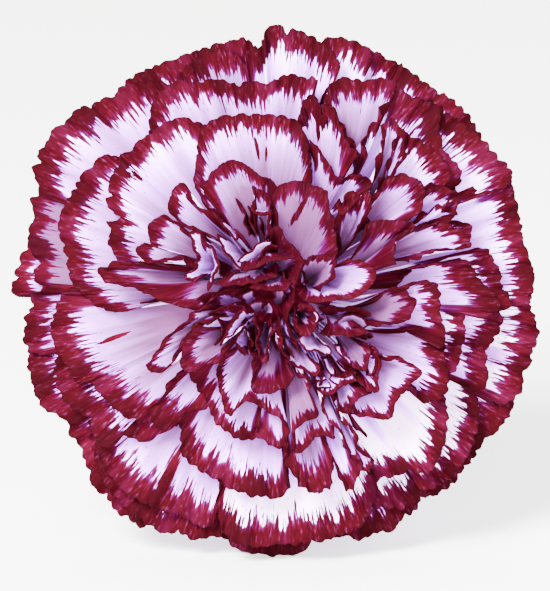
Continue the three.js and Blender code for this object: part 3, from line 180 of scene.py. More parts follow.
# Each petal: name, rise of its rim, slope of its blade at the rim in degrees, width of its
# crimson margin, the middle that its blade fans out from (x, y and at times its rise; empty for
# the usual one), and its rim as seen from the front: x and y of one point after another, x to
# the right and y up.
PETALS = [
    # guard petals, the outermost ring
    ("guard_01", 0.2, -3, 3.4, (), (-27, 30, -25.6, 32.2, -24, 34.1, -21.4, 35.8, -18.5, 36.9, -15.3, 38,
     -12, 39.3, -9.4, 40.2, -6.6, 40.6, -5, 41.1, -3.6, 40.3, -2.6, 39, -1.5, 37)),
    ("guard_02", 1.4, -2, 3.4, (), (-35.2, 14.8, -37.4, 16.3, -38.3, 18, -39.1, 20, -37.9, 21.3,
     -38.3, 22.3, -36.4, 24.5, -36, 26, -33.8, 27.3, -32.6, 28.9, -31.3, 30, -29.8, 30.2, -27.8, 31.2,
     -25.8, 31.9, -23.5, 33.5, -20.5, 34.1, -18, 34, -16, 33)),
    ("guard_03", -1.6, -28, 2.6, (), (-35.5, 18.5, -37.3, 17, -38.2, 16.1, -39.4, 15.1, -39.6, 14,
     -38.9, 12.5, -39.6, 11, -39.9, 10.3, -39.2, 9.2, -39, 7.6, -38.6, 6, -38.4, 4.6, -39, 3.2, -38.3, 1.8,
     -37, 0, -35.5, -1.5)),
    ("guard_04", -3.4, -6, 2.2, (), (-37.5, 9, -39.4, 8.4, -40.3, 7, -41.2, 5.8, -41.6, 4.3, -42, 3,
     -41.6, 2.4, -42.4, 1.6, -42.4, 0.3, -41.5, -0.9, -40.3, -0.7, -39.2, -0.4, -37.8, 0)),
    ("guard_05", 1.2, 2, 3.1, (), (-35.5, 1.5, -37.5, 0.6, -39.4, -0.3, -39.1, -1.6, -39.3, -2.5,
     -40.1, -3.3, -40.3, -4.3, -40.1, -5, -40.4, -6.3, -40.5, -7.5, -39.9, -8.8, -38.6, -9.8, -36.5, -10)),
    ("guard_06", -0.2, -4, 3.6, (), (-37, -6.5, -38.8, -7.9, -39.8, -9.2, -39.7, -10.3, -39.9, -11.5,
     -39.5, -12.8, -39.1, -13.8, -39, -15, -38.5, -16.3, -37.9, -17.9, -36.9, -19, -35, -19.7, -33.6, -20.6,
     -31.8, -21.2)),
    ("guard_07", -2, -5, 3.2, (), (-30.5, -19.5, -32.5, -20.5, -33.3, -21.7, -33, -23.2, -31.4, -24.8,
     -31.1, -26.2, -30, -29, -29.6, -30.6, -28.8, -31.8, -27.2, -33, -26, -35, -25, -35.8, -24, -36,
     -22.8, -37, -21.7, -37.7, -20.5, -37.2, -18.5, -36.5)),
    ("guard_08", 0, -2, 3.4, (), (-28, -21, -30, -23.5, -29.4, -25, -29, -27, -28, -29.6, -26.5, -32,
     -24.6, -34.2, -22.5, -36, -20.3, -37.4, -19.3, -38.3, -17, -38.7, -15.5, -38.6, -13.4, -39.7,
     -12, -39.9, -10.5, -39.1, -9.3, -39.3, -8, -38.6, -6.5, -37)),
    ("guard_09", -2, -4, 3.6, (), (-10.5, -37.5, -8.7, -39, -7.5, -40.3, -6, -41.6, -4.2, -42.6,
     -2.6, -42.3, -1, -42.9, 0.6, -42.9, 2.2, -42.8, 3.5, -42.4, 4.8, -42.1, 5.5, -40.9, 6, -39.5,
     7, -37.5)),
    ("guard_10", -0.8, -3, 3.4, (), (7, -37, 9, -39.3, 11, -39.1, 13.4, -39.8, 15, -39.1, 16.5, -38.5,
     18.8, -38.3, 19.8, -37.4, 20.6, -36.2, 22.4, -35.3, 23.4, -33.8, 23.3, -32.5, 22.5, -31)),
    ("guard_11", -1, -5, 4.9, (), (21.5, -31, 23.3, -32.8, 24.8, -32.9, 26.5, -32.1, 28.8, -30.8, 30, -29,
     31.7, -27, 32.6, -25.4, 33.6, -24, 35.1, -22.9, 36.6, -21.1, 37.8, -19.8, 38.3, -18.3, 39, -16.8,
     38.5, -15.5, 37, -14.5)),
    ("guard_12", 0.2, 0, 3.1, (), (39, 2, 40.5, 1, 41.2, -0.4, 41, -1.6, 41.3, -2.8, 42, -4, 42, -5.5,
     42.7, -6.3, 42.1, -7.4, 41.9, -8.7, 41.1, -10, 41.3, -10.8, 41, -11.8, 40, -12.5, 39.9, -14,
     39.8, -15.5, 38.8, -16.8, 37, -17.8, 35, -18)),
    ("guard_13", 1.4, 2, 2.7, (), (36.5, 19.5, 37.6, 19.8, 38, 18.3, 38.3, 16.5, 38.9, 14.6, 39.1, 12.8,
     39.7, 11, 39.7, 9.5, 40.1, 7.8, 40.7, 6.3, 41.1, 4.6, 41.7, 3.6, 41.6, 2, 41.6, 0.7, 41.2, -0.6,
     40.8, -1.9, 39, -2.2, 37.5, -1)),
    ("guard_14", 0.6, -2, 2.5, (), (18.5, 35, 20.3, 36.9, 21.6, 35.8, 22.9, 35.1, 24, 34, 25.2, 33.3,
     26.2, 32.2, 27.2, 32, 28.7, 31.1, 30, 29.9, 31.1, 28.9, 32.2, 27.2, 33, 26, 33.4, 24.6, 34, 23)),
    ("guard_15", -0.6, -3, 2.8, (), (12.5, 38.6, 14.8, 39.4, 17.2, 38.3, 18.7, 37.5, 20.2, 36.8, 21.6, 35.8,
     22.9, 35, 23.5, 34, 24, 32.5)),
    ("guard_16", 1.4, 2, 2.7, (), (7.2, 38.8, 7.4, 40, 8.2, 40.9, 10, 41.1, 12, 40.8, 13.7, 40.1, 15.3, 39,
     15.8, 37.6, 15.2, 36.2, 14.6, 35)),
    # second ring
    ("second_01", 3.8, 4, 2.6, (), (-5, 36.2, -4.4, 38.4, -3.4, 39.4, -2.3, 39.5, -1.2, 40.1, -1.4, 42,
     -0.2, 43, 1, 42.9, 1.8, 41.9, 2.8, 42.4, 4.2, 42, 5.5, 41.4, 7.3, 40.3, 9, 38.9, 10.2, 37.4, 10.5, 36,
     9.8, 34.5, 8.5, 33, 7.5, 31)),
    ("second_02", 2, 2, 2.4, (), (-17, 31.5, -16, 33.8, -14.8, 36, -12.6, 37.8, -10, 38.8, -7.5, 39.1,
     -6, 38.5, -5.2, 37.2, -4.2, 36, -3.2, 34)),
    ("second_03", 3.5, 2, 2.9, (), (20, 32.8, 22, 31.5, 24.5, 31.2, 26.5, 30.1, 28, 28.6, 30.5, 27,
     33.2, 24.8, 34.7, 23.4, 36, 21.6, 37.7, 20.3, 38, 18.8, 37.4, 17.2, 35.5, 16.7, 33.5, 16.4, 32.3, 16.6,
     31.2, 17.5, 30, 18)),
    ("second_04", 4.1, 4, 2.6, (), (31.2, 5.5, 32.3, 7.1, 34.3, 7, 35.1, 5.3, 36.2, 3.4, 36.4, 1.2,
     37.5, -0.3, 38.3, -1.6, 37.3, -2.5, 36.5, -2.9, 36.6, -4.8, 35.7, -6.7, 34.5, -8.3, 33.9, -9.2,
     34.2, -11, 34.2, -13, 33.8, -15.1, 32.5, -15.4, 30.5, -15)),
    ("second_05", 3.2, 3, 2.5, (), (30.2, -12, 32, -15.5, 32.7, -18, 32.8, -20.3, 32.4, -22.5, 31.6, -24.8,
     30.5, -26.8, 29, -28.8, 27, -30.4, 25, -31.6, 23.3, -31.5, 22, -29.5)),
    ("second_06", 1.4, 1, 3, (), (25.5, -28.5, 24.8, -30.3, 23.7, -31.6, 23, -33, 22, -34.1, 20.4, -34.8,
     18.6, -34.6, 16.6, -34.7, 15, -34, 13.5, -32)),
    ("second_07", 4.1, 3, 3, (), (-8.9, -29, -9, -31, -9.3, -33.5, -9, -36, -8.3, -38.5, -6.5, -40,
     -4.5, -40.7, -1.5, -40.6, 1, -40.2, 3.5, -40.4, 5.8, -40, 8, -39.8, 10, -39, 12.3, -38.4, 14.2, -37,
     15.4, -35.2, 15.9, -33.3, 16.5, -31.3, 16, -29.8, 14, -28.5)),
    ("second_08", 2.6, 2, 3.1, (), (-30, -20.5, -29.2, -22.5, -28.7, -25, -27.6, -28, -25.6, -30.5,
     -23.6, -32.4, -21.3, -33.7, -19.3, -34.7, -17.5, -35.2, -15.5, -35.7, -13.6, -36.6, -12, -37.6,
     -10.3, -37.3, -9.3, -35.8, -8.6, -33.5, -8.8, -31)),
    ("second_09", 5, 3, 3.6, (), (-34.6, -8.5, -35.3, -10.8, -35.4, -13, -34.8, -15.5, -33.3, -18,
     -31.3, -19.4, -29.8, -20, -29.2, -22, -28.6, -24, -27, -24.9, -25.6, -24.2, -24.2, -22.9, -22.6, -23.5,
     -21, -23.9, -19, -22.8, -17, -22, -15.8, -21.2, -15, -20)),
    # third ring
    ("third_01", 7.4, 4, 2.2, (), (-20, 24, -20.1, 26, -20, 28.4, -19.6, 30.5, -18.6, 32, -17, 33.3,
     -15.3, 34, -13, 33.7, -11, 34.1, -9, 34.1, -7.3, 33.8, -5.8, 33.2, -4.8, 33.8, -3, 33.8, -1.3, 33.6,
     0, 34.2, 1.3, 34.8, 3, 35, 4.5, 34.5, 6.3, 34.7, 7.1, 34, 6.2, 32.6, 5.2, 31.2, 4.2, 29.6)),
    ("third_02", 6.8, 3, 3.7, (), (16, 33, 17.5, 34, 19.2, 33.5, 20.6, 32.4, 22.2, 31.2, 24, 31, 25.4, 30.4,
     26.3, 29.3, 26.4, 28, 26.2, 26.4, 26.6, 25, 27.1, 23.4, 28, 21.8, 28.9, 21, 29.7, 19.8, 30, 18.6,
     29.5, 17.5, 28.3, 16.8)),
    ("third_03", 7.7, 6, 1.6, (), (26, 12.2, 27.5, 11.8, 28.8, 11.4, 30.2, 11.3, 31.3, 10.8, 31.8, 10,
     31.4, 9, 31, 8)),
    ("third_04", 7.4, 6, 3.7, (), (19.5, 0.8, 21, 2.8, 23, 4.6, 25, 5.4, 27.3, 5.8, 29.5, 5.8, 31.2, 5,
     32, 3.5, 33, 1.8, 34.3, 0.5, 35.6, -0.6, 36, -2, 35, -3.4, 33, -4.2, 31, -4)),
    ("third_05", 9.2, 8, 1.6, (), (25.5, -3.4, 27, -3, 28.6, -2.9, 30.2, -3.2, 30.5, -5, 30.3, -7,
     29.8, -8.3, 29.8, -9.7, 29.4, -11, 29.2, -12.2, 28.2, -13.2, 27.8, -14.4, 27, -15.5)),
    ("third_06", 8, 4, 2.2, (), (26.2, -12, 27.3, -14.5, 27.3, -17, 27.8, -19.6, 27.6, -21.5, 27.1, -24,
     26.3, -26, 25.5, -27.7, 24.5, -29.6, 23.4, -29.2, 22.2, -28.4, 20.8, -28.7, 19, -29.4, 17.3, -29.7,
     16, -29.3, 15.2, -28, 14.5, -26, 13.5, -23.5, 12, -21)),
    ("third_07", 8.9, 5, 2.6, (), (-15.3, -19.5, -15.4, -21.5, -15.2, -23.5, -15.3, -25.2, -14.3, -26.6,
     -13, -27.8, -12, -28.5, -10.5, -29.2, -9, -30, -7.7, -31, -6.5, -31.6, -5, -32, -3.8, -32.7, -2, -32.6,
     -0.2, -32.9, 1.2, -32.4, 1.5, -31.3, 1.2, -30, 1.1, -28.5)),
    ("third_08", 8.3, 3, 3.1, (), (-33, 1, -34.6, -1, -35.2, -3, -35.9, -5, -35.7, -6.8, -35.2, -8.6,
     -34, -10.6, -33, -12, -32.3, -14, -31, -14.4, -29.6, -14.3, -28.3, -15.8, -26.8, -17.3, -25.4, -18.8,
     -23.8, -20, -22, -20.4, -20.5, -20.5, -19.6, -19.2, -19, -17.5)),
    ("third_09", 8.6, 4, 2.5, (), (-21, 24, -23.3, 22.7, -25, 21.9, -27.4, 22, -29.2, 20.6, -31, 18.8,
     -32.2, 16.8, -33.6, 14.3, -34.3, 12.3, -34.6, 10.8, -34.2, 8.3, -33.5, 5.8, -33, 3.5, -32.2, 1.2,
     -30.3, -0.6, -28.4, -2.2, -26.3, -3.1, -24, -3.2, -22, -2, -19.5, -0.8)),
    # fourth ring
    ("fourth_01", 12.5, 6, 1.8, (), (-10.8, 26.9, -12.4, 27.3, -14.2, 27.9, -16, 27.7, -18, 26.8, -20, 25.3,
     -21.6, 24.3, -23.2, 22.7, -24.9, 21.8, -25.1, 20.2, -26, 19, -26.5, 16.9, -26, 15.6, -26.9, 14.9,
     -26, 13.2, -24.6, 12.1, -25.2, 11.5, -26.9, 11.5, -26.2, 9.9, -26.8, 8.4, -25.8, 6.6, -24.7, 5,
     -23, 4.9, -21.6, 5.2)),
    ("fourth_02", 14, 8, 1.6, (), (-6.3, 8.6, -8, 11, -9.7, 12.8, -11.4, 14, -12.6, 16.2, -13.1, 18.4,
     -13, 20.2, -12.6, 22, -12.3, 24, -11.8, 25.8, -11, 27, -9.7, 27.6, -8, 28.2, -6, 28.5, -3, 28.5,
     -0.5, 28.5, 1.5, 28.2, 3, 27.6, 4, 26.7, 4.6, 25, 5.1, 23.5, 5.4, 22, 5.6, 20.5, 5.8, 19, 5.9, 17.8)),
    ("fourth_03", 10.4, 10, 1.8, (13.6, 19), (13.6, 21.7, 12.3, 23.5, 11, 25.1, 10.3, 27, 9.6, 28.7,
     8.8, 30.2, 8.3, 32, 9.3, 33.6, 10.8, 34.3, 12.5, 34.3, 14.2, 34, 16, 34.4, 17.6, 34.3, 19.2, 33.6,
     19.4, 32, 18.3, 29.8, 17.6, 28.3, 16.3, 27.3, 15.3, 25.8, 15, 24, 14.8, 22)),
    ("fourth_04", 11.6, 12, 1.6, (9, 16.5), (5.7, 24.2, 4.6, 26.2, 4, 28, 4.6, 29.6, 5.5, 31.4, 6.3, 30.6,
     6.8, 29.3, 7.7, 30, 8.7, 29.5, 9.7, 28, 10.4, 26.5, 11, 25.2, 12.3, 23.6, 13.4, 22)),
    ("fourth_05", 11, 6, 1.8, (17.5, 15), (17.3, 18.2, 18, 20, 19.2, 22, 19.9, 24, 20.3, 25.6, 21.8, 25,
     23.2, 24.4, 24.6, 23.4, 26, 22.4, 27.2, 21, 28, 19.4, 27.8, 17.8, 26.3, 17, 25, 16.6)),
    ("fourth_06", 12.8, 14, 1.2, (17.2, 16), (16.3, 21.3, 16.9, 23.5, 16.8, 25.5, 16.9, 27.3, 18.3, 28,
     19.6, 27.6, 20.1, 26.2, 20.4, 24.6, 20.2, 23.2, 19.3, 21.5, 18.2, 20, 17.5, 19)),
    ("fourth_07", 12.2, 10, 1.4, (20, 11), (23.5, 16.5, 25, 16.8, 26.5, 17, 28, 16.8, 29, 16.2, 29.4, 15,
     29.2, 13.8, 28.7, 12.9, 28.4, 12, 27.6, 11.2)),
    ("fourth_08", 12.5, 8, 1.3, (14, 5), (19.8, 9, 20.5, 10.2, 22.5, 10.1, 24, 10.6, 26, 10.9, 27.8, 11,
     28.6, 10.3, 29.8, 9.9, 31, 9.3, 31.3, 8, 31, 6.6, 29.3, 6.7, 27.3, 6.4, 25, 5.8, 23, 5, 21.4, 4.4)),
    ("fourth_09", 13.4, 6, 1.6, (14, -2), (21.3, 0.7, 21.8, 1.6, 23.5, 1.6, 25.6, 1.6, 26.3, 0.2,
     26.4, -1.5, 26.3, -3.2, 26.9, -4.5, 27.1, -6.3, 27, -8, 26, -8.8)),
    ("fourth_10", 12.2, 6, 2, (12, -7), (20.5, -6, 22.2, -5.7, 23.8, -5.5, 25.3, -5.3, 26.7, -6, 27, -8.3,
     27.2, -11, 27.6, -13.5, 27.4, -15.8, 26, -17, 24.3, -17.3, 23.3, -16.3, 22.4, -15.2, 21, -15.6)),
    ("fourth_11", 12.2, 8, 1.6, (), (14.6, -28.6, 14, -28.2, 13.4, -29.6, 13, -30.4, 12.6, -31.2,
     11.8, -31.7, 11.2, -31.8, 10.7, -30.8, 10.2, -29.4, 9.4, -27.5, 8.4, -26.2, 8.1, -25)),
    ("fourth_12", 12.8, 6, 3, (), (9.4, -26, 9.4, -28, 9.3, -29.8, 8.8, -31.3, 8, -31.1, 7.3, -31.9,
     6, -31.8, 4.9, -31.2, 3.7, -29.9, 2.6, -28, 2.2, -26, 2.3, -23.5)),
    ("fourth_13", 12.8, 8, 1.3, (), (-14.1, -12.7, -13.2, -14.5, -12.3, -15.7, -11, -16.7, -10.5, -18.3,
     -9.8, -20, -9, -21.3, -7.5, -22.4, -6, -23.4, -4.3, -23.6, -3.1, -23, -3, -21.9)),
    ("fourth_14", 11.3, 8, 3.2, (), (-14.6, -12.7, -16.4, -14, -17.8, -15.6, -19.1, -17.4, -19.9, -19.4,
     -19.4, -21, -17.8, -22, -16.3, -21.3, -15, -20.2, -13.5, -19, -12.3, -18.9, -11, -18.3)),
    ("fourth_15", 13.7, 10, 1.8, (), (-2.4, -21, -2.7, -22.7, -1.6, -23.5, -0.4, -24.4, 0.9, -24.9,
     2.1, -24.8, 2.4, -23.5)),
    # inner petals, standing up round the eye
    ("inner_01", 18.5, 12, 1.4, (-6, 7), (-10, 9.2, -12, 10, -14.2, 10.7, -15.7, 12, -16.6, 13.6,
     -16.8, 15.2, -16.2, 16.4, -15.1, 17.6, -14.2, 16.2, -13, 14.8, -11.3, 13.4, -9.8, 12)),
    ("inner_02", 18.2, 14, 1.4, (), (-11.3, 15.5, -11.3, 17.3, -10.6, 18.7, -9.5, 19.8, -8, 20.8, -6.4, 21,
     -5, 20.6, -3.7, 19.8, -2.3, 18.6, -1.2, 18.1, -0.4, 17.4, 0.4, 16.8)),
    ("inner_03", 17.9, 12, 1.4, (-8, 4.5), (-14.5, 10.4, -15.7, 11.6, -17, 12.4, -18.6, 11.9, -19.8, 11.1,
     -20.3, 9.7, -19.9, 8.3, -19.7, 7.2, -20.8, 7.9, -22, 7.2, -22.1, 6.4, -21.3, 5.3, -19.5, 5.1,
     -17.3, 5.2, -15.3, 4.8, -13.5, 4.3)),
    ("inner_04", 15.8, 6, 3.4, (-8, 2.5), (-19, 5, -22, 5, -25, 4.6, -27.3, 4.5, -28.3, 3.8, -28.2, 2.9,
     -27, 2.1, -25, 1.4, -23, 0.9, -21, 0.3, -19, 0, -17, 0.7)),
    ("inner_05", 15.5, 10, 1.7, (13, 9), (14.2, 11, 15, 13, 15.6, 15, 16.6, 17, 18, 18.2, 20, 18.9,
     21.8, 18.7, 23.2, 17.9, 23.6, 16.5, 23.6, 15, 23.4, 13.7, 22.8, 12.3, 21.5, 11.8)),
    ("inner_06", 18.2, 16, 2.5, (13, 3), (13.6, 9.5, 14.5, 10.8, 16.2, 11.4, 18.2, 11.5, 20, 11.8,
     21.5, 11.3, 22.3, 10.2, 20.8, 9.8, 19.8, 9, 19.2, 7.4, 18.8, 6, 19, 4.5)),
    ("inner_07", 15.8, 8, 0.9, (11, -10), (17, -9.8, 18.5, -9.9, 20, -10.2, 21.3, -11, 22.7, -11.8,
     23.5, -12.5, 23.2, -13.2, 22.3, -13.8, 21.3, -14.8, 20.6, -15.8, 19.6, -16.8, 19, -17.8, 18.8, -18.8,
     18.5, -19.8, 17.7, -20.1, 16.5, -20.1, 15, -19.8, 13.5, -19.7, 12.3, -19.4, 11, -19.2)),
    ("inner_08", 17.6, 14, 1, (9.5, -12), (15.5, -15.8, 14, -16.4, 12.9, -17.5, 12, -18.5, 11, -19,
     10, -18.6, 9.7, -17)),
    ("inner_09", 18.5, 12, 1.5, (12.5, -3.5), (16.2, -1, 17.3, 0.2, 18.6, 1, 20, 0.8, 21.3, -0.2, 22.3, -1,
     22.5, -2, 22, -3.1, 21.2, -4, 19.5, -4.6, 17.5, -4.8, 16, -5.1)),
    ("inner_10", 16.1, 10, 0.8, (5.5, -9), (9, -16.5, 9.8, -18.6, 11, -20.6, 12.3, -22.5, 13.8, -24.8,
     15, -27, 15.2, -28.7, 14, -28, 12.8, -26, 11.4, -23.6, 10, -22.2, 8.6, -20, 7.2, -17.2, 6.2, -14.2)),
    ("inner_11", 15.2, 10, 1.2, (), (8, -19.6, 9, -20.8, 9.7, -22.2, 9.6, -23.3, 8.6, -22.9, 7.2, -22.8,
     6, -23.4, 5.2, -24.6, 4.3, -25.3, 3.2, -25.3, 3, -24.2, 3.1, -22.5)),
    ("inner_12", 16.4, 12, 0.9, (-2, -8), (2.1, -23.5, 2, -22, 1.3, -20.8, 0, -19.8, -1.3, -18.7,
     -2.6, -17.8, -4, -17.4, -5.3, -17.7, -6.3, -18.7, -7, -19.7, -7.9, -19, -8.5, -17.3, -8.9, -15,
     -9.1, -12, -8.9, -9.5)),
    ("inner_13", 17.9, 8, 1.1, (-6, -2.5), (-9.8, -3.8, -11.8, -4.8, -13.8, -6.3, -15.3, -8.2, -16.2, -10.2,
     -16.6, -11.8, -17.8, -12.5, -19.4, -12.5, -20.5, -11.7, -18.8, -9.5, -17.3, -7.5, -15.5, -5.5,
     -13.5, -3.7, -11, -2.3)),
    ("inner_14", 17.3, 8, 2, (-6, 3), (-4, 0.6, -5.5, 0.3, -7.5, -0.4, -9, -1, -10.5, -1.7, -12, -2.3,
     -14, -2.5, -16, -2, -18, -1.3, -19.5, -0.6, -20, 0.4)),
    ("inner_15", 19.7, 12, 1.6, (-5, -6), (-8.4, -9, -8.6, -10.6, -9.8, -11.3, -11.2, -11.9, -12.8, -12.6,
     -14.3, -12.5, -15, -11, -15, -9.3, -14.3, -7.5, -12.8, -6, -10.5, -5)),
    ("inner_16", 18.8, 16, 2.4, (0, -8), (3.4, -13, 2.8, -14, 1.8, -14.8, 0.6, -15.5, -0.5, -16.1,
     -2, -16.3, -3, -16.2, -3.4, -15.3, -3.6, -13.5, -3.8, -11.5, -3.8, -9.5)),
    ("inner_17", 17.3, 12, 0.9, (1.5, -8), (3, -11.8, 4.3, -13.3, 5.6, -15, 6.4, -17, 6.9, -18.7,
     6.5, -19.6, 5, -20.3, 3.8, -21.2, 3.3, -22.5, 3, -24)),
    ("inner_18", 20, 16, 1.8, (2, 2), (-0.3, 12.5, -0.5, 15, 0.2, 16.6, 1.3, 17.4, 2.8, 18, 4.2, 17.8,
     5.4, 17.2, 7, 16.7, 8.4, 16.1, 8.7, 15, 8.3, 13.8, 8.9, 12.4, 9.4, 10.8, 9.8, 8.8, 9.9, 7, 9.6, 5.9)),
    ("inner_19", 20.6, 16, 1.2, (-2, 6), (-3.6, 14.5, -3.8, 16, -3.6, 17.1, -2, 16.1, -0.8, 15.2, -0.1, 14,
     -0.2, 12.9, -1, 11.9, -1.5, 10.5, -1.8, 9)),
    ("inner_20", 21.5, 14, 0.7, (5.4, 1.6), (4.3, 3.2, 4.2, 5.4, 5.6, 6, 7.1, 5.9, 8.6, 6.1, 9.8, 6.2,
     9.9, 4.8, 9.2, 3, 8.1, 1.1, 7.2, 0.1)),
    # the tight curls of the eye
    ("heart_01", 21.5, 4, 1.5, (6.5, 2.5), (11.6, 5, 13, 5.3, 14.4, 4.8, 15.9, 3.6, 15.8, 2, 14.8, 0.6,
     13.6, -0.4, 12.3, -1, 11, -0.9, 9.8, -1.3, 8.3, -1.6, 6.5, -1.7, 4.8, -1.3, 3.4, -0.3)),
    ("heart_02", 20.9, 20, 0.6, (-9, 5.5), (-11.5, 9.8, -13.6, 9.5, -13.1, 8, -12.8, 6.2, -12.8, 4.6,
     -13.4, 3.1, -14.2, 2.2, -12.5, 1.6)),
    ("heart_03", 22.1, 20, 0.8, (-10.8, 4.5), (-12, 9, -10.8, 8, -9.4, 7, -8.7, 5.5, -8.9, 3.7, -9.5, 2.4,
     -9.7, 1, -10.3, 0)),
    ("heart_04", 23.6, 0, 2.2, (-3.6, 7.6), (-5.4, 4, -4.6, 3.3, -3.4, 3.6, -2.2, 4.1, -1.2, 4.6, 0.5, 4.9,
     2, 5.2, 3.2, 5.4)),
    ("heart_05", 23, 30, 3.6, (-0.2, 4.4), (-0.6, 9.6, 0.2, 10.6, 1.2, 9.5, 2.2, 8.3, 3.5, 7, 4.4, 5.4,
     4.2, 3.6, 3.6, 2, 3.2, 0.5)),
    ("heart_06", 22.1, 6, 1.4, (-4, 5), (-9.6, 1.3, -8, 0.9, -6, 1, -4, 1.3, -2, 1.6, -0.6, 2, 0.6, 2.6)),
    ("heart_07", 23, 4, 1.6, (0, 3.4), (-4.2, 0.9, -3, 0.4, -1.5, 0.3, 0.2, 0.2, 1.8, 0.6, 2.8, 1.6)),
    ("heart_08", 23.9, 0, 0.5, (-4, -4.6), (-4.6, -2.6, -5.9, -2.8, -6.9, -3.9, -7.6, -5.5, -8.3, -7.4,
     -8.7, -8.3, -7.6, -7.6, -6.4, -6.3, -5.6, -4.6)),
    ("heart_09", 21.5, 30, 0.8, (-4.8, -7.3), (-4.1, -9.9, -5.3, -9, -5.9, -7.4, -5.7, -5.9, -5, -5,
     -4.3, -5.7, -4, -7.2, -3.9, -8.6)),
    ("heart_10", 22.1, 20, 2, (-1, -6.4), (-3.3, -3.4, -3, -5.5, -3.2, -7.7, -2.5, -9.6, -1.6, -10.8,
     -0.9, -9, -0.6, -6.8, -0.2, -5, 0.9, -6, 1.2, -8, 1.9, -9.6, 2.8, -10.4)),
    ("heart_11", 23.3, -20, 4, (4.9, -4.2, 24.5), (3.4, -1.9, 4.6, -1.6, 5.8, -1.9, 6.6, -2.8, 6.9, -4,
     6.6, -5.3, 5.9, -6.3, 4.9, -6.9, 3.9, -6.6, 3.2, -5.4, 2.9, -4)),
    ("heart_12", 21.5, 0, 0.3, (5.8, -6.4), (3.8, -6.9, 4.2, -8.2, 5.2, -9, 6.6, -9.3, 7.9, -9.9, 8.9, -9.6,
     8.6, -8.6, 7.7, -7.8)),
    ("heart_13", 19.4, 6, 2, (10.5, -3), (6.9, -6.6, 8.5, -6.9, 10.3, -6.7, 12, -7.2, 13.5, -6.8,
     14.8, -6)),
    ("heart_14", 18.5, 8, 1.4, (11.6, -7.2), (9.6, -8.6, 9.9, -9.4, 10.8, -10.4, 12, -11.5, 13.2, -12.3,
     14.4, -12.3, 14.8, -11, 15, -9.3, 14.7, -7.9)),
    ("heart_15", 17.9, 10, 1.8, (13.6, -10.5), (14.9, -8, 16.2, -8.7, 16.6, -10, 16.9, -11.5, 16.2, -13,
     16.3, -14.3, 16.7, -15.3, 15.9, -15.9, 14.7, -15.7, 13.8, -14.6, 13.2, -13.4)),
    ("heart_16", 20, 8, 0.7, (3.2, -8.6), (7, -11.4, 7.2, -12.6, 6.4, -13.3, 5.2, -12.8, 4, -12, 2.8, -11.3,
     1.8, -10.3)),
    ("heart_17", 18.2, 14, 0.9, (9, -10.6), (12.2, -12.6, 12.8, -13.8, 11.5, -14.5, 10.2, -15.2, 9.2, -16.3,
     8, -16.2, 6.8, -15.2, 7.1, -14, 6.4, -12.9)),
    ("heart_18", 17.3, 14, 3.4, (11.6, 6), (9.9, 8.4, 9.6, 10.4, 9.6, 12, 10.4, 13.8, 11.2, 15.8,
     12.4, 16.2, 13.4, 15.4, 14.6, 16.3, 15.4, 15.4, 14.6, 13.6, 13.9, 12, 13.4, 10.4)),
    # small curled petals that crowd the eye and the folds round it
    ("curl_01", 16.5, 70, 3, (-3.2, 11), (-6.2, 14.9, -5.4, 13.6, -4.9, 12.4, -4.9, 11.2, -4.3, 10.2,
     -4, 9)),
    ("curl_02", 17.5, 70, 3, (-1.8, 11), (-4.2, 13.8, -3.8, 12.8, -4.3, 11.6, -3.6, 10.4, -3, 9.2)),
    ("curl_03", 18.5, 70, 3, (-1, 10), (-2.6, 11.9, -2.2, 11, -2.4, 9.8, -1.9, 8.6)),
    ("curl_04", 20.2, 20, 0.8, (-2, 14.6), (-3.6, 13.8, -3.2, 12.6, -2.2, 12.1, -1, 12.3, -0.2, 13)),
    ("curl_05", 19, 30, 0.5, (-7, 11), (-9, 11.4, -8, 10.8, -7.2, 9.8, -6.7, 8.8, -6, 8.2, -5.6, 8.9)),
    ("curl_06", 21, 35, 0.45, (-5.6, 7.2), (-9.4, 9.2, -8.6, 8, -8, 6.6, -7, 5.4, -6.2, 4.6, -5.2, 3.4)),
    ("curl_07", 19.5, 60, 3, (-7.2, 4.4), (-9, 5.2, -8.8, 4, -8.7, 2.9, -7.6, 2.6, -6.2, 3, -5.4, 3.4)),
    ("curl_08", 23, 40, 0.25, (-1.5, 4.5), (-6, 4.9, -5, 5.9, -3.9, 6.8, -2.8, 7.7, -1.6, 8.2, -0.4, 8)),
    ("curl_09", 23.4, 55, 2.5, (0, 5), (-4.8, 3.3, -3.6, 4.3, -2.8, 5.6, -1.8, 6.9, -0.6, 7.5, 0.6, 7.3)),
    ("curl_10", 22.5, 70, 2.5, (2.2, 3), (1.2, 3.4, 1.6, 2.2, 2.6, 2, 3.1, 2.9, 2.6, 3.8)),
    ("curl_11", 20, 50, 0.6, (-3.4, -6.6), (-4.6, -3.7, -5.4, -4.6, -6, -6, -6.2, -7.2, -5.6, -8.8,
     -4.8, -10)),
    ("curl_12", 18.5, 70, 2.6, (-2.4, -7), (-4, -5.2, -4.4, -6.4, -4.3, -8, -3.6, -9.8)),
    ("curl_13", 17.5, 75, 2.6, (-1.4, -7), (-2.9, -4.8, -3.1, -6.6, -2.6, -8.6, -2, -10.2)),
    ("curl_14", 19, 70, 2.6, (-1.6, -6.6), (-0.5, -4, -0.3, -5.6, 0.1, -7.4, 0.7, -9.2)),
    ("curl_15", 20, 70, 2.6, (-0.4, -6.6), (0.8, -3.7, 1, -5.5, 1.4, -7.2, 2.2, -8.8, 3.2, -10.1)),
    ("curl_16", 20.5, 65, 1.6, (0.4, -6), (2, -2.6, 2.1, -4.4, 2.4, -6.2, 3.2, -7.8, 4.2, -9.2)),
    ("curl_17", 21, 60, 1.4, (1.4, -4.4), (3, -1.6, 3.2, -3.2, 3.2, -4.8, 3.6, -6.4)),
    ("curl_18", 18.5, 40, 0.4, (-2.6, -3.8), (-4.3, -1.9, -3.2, -1.4, -2.1, -1.2, -1.6, -1.7)),
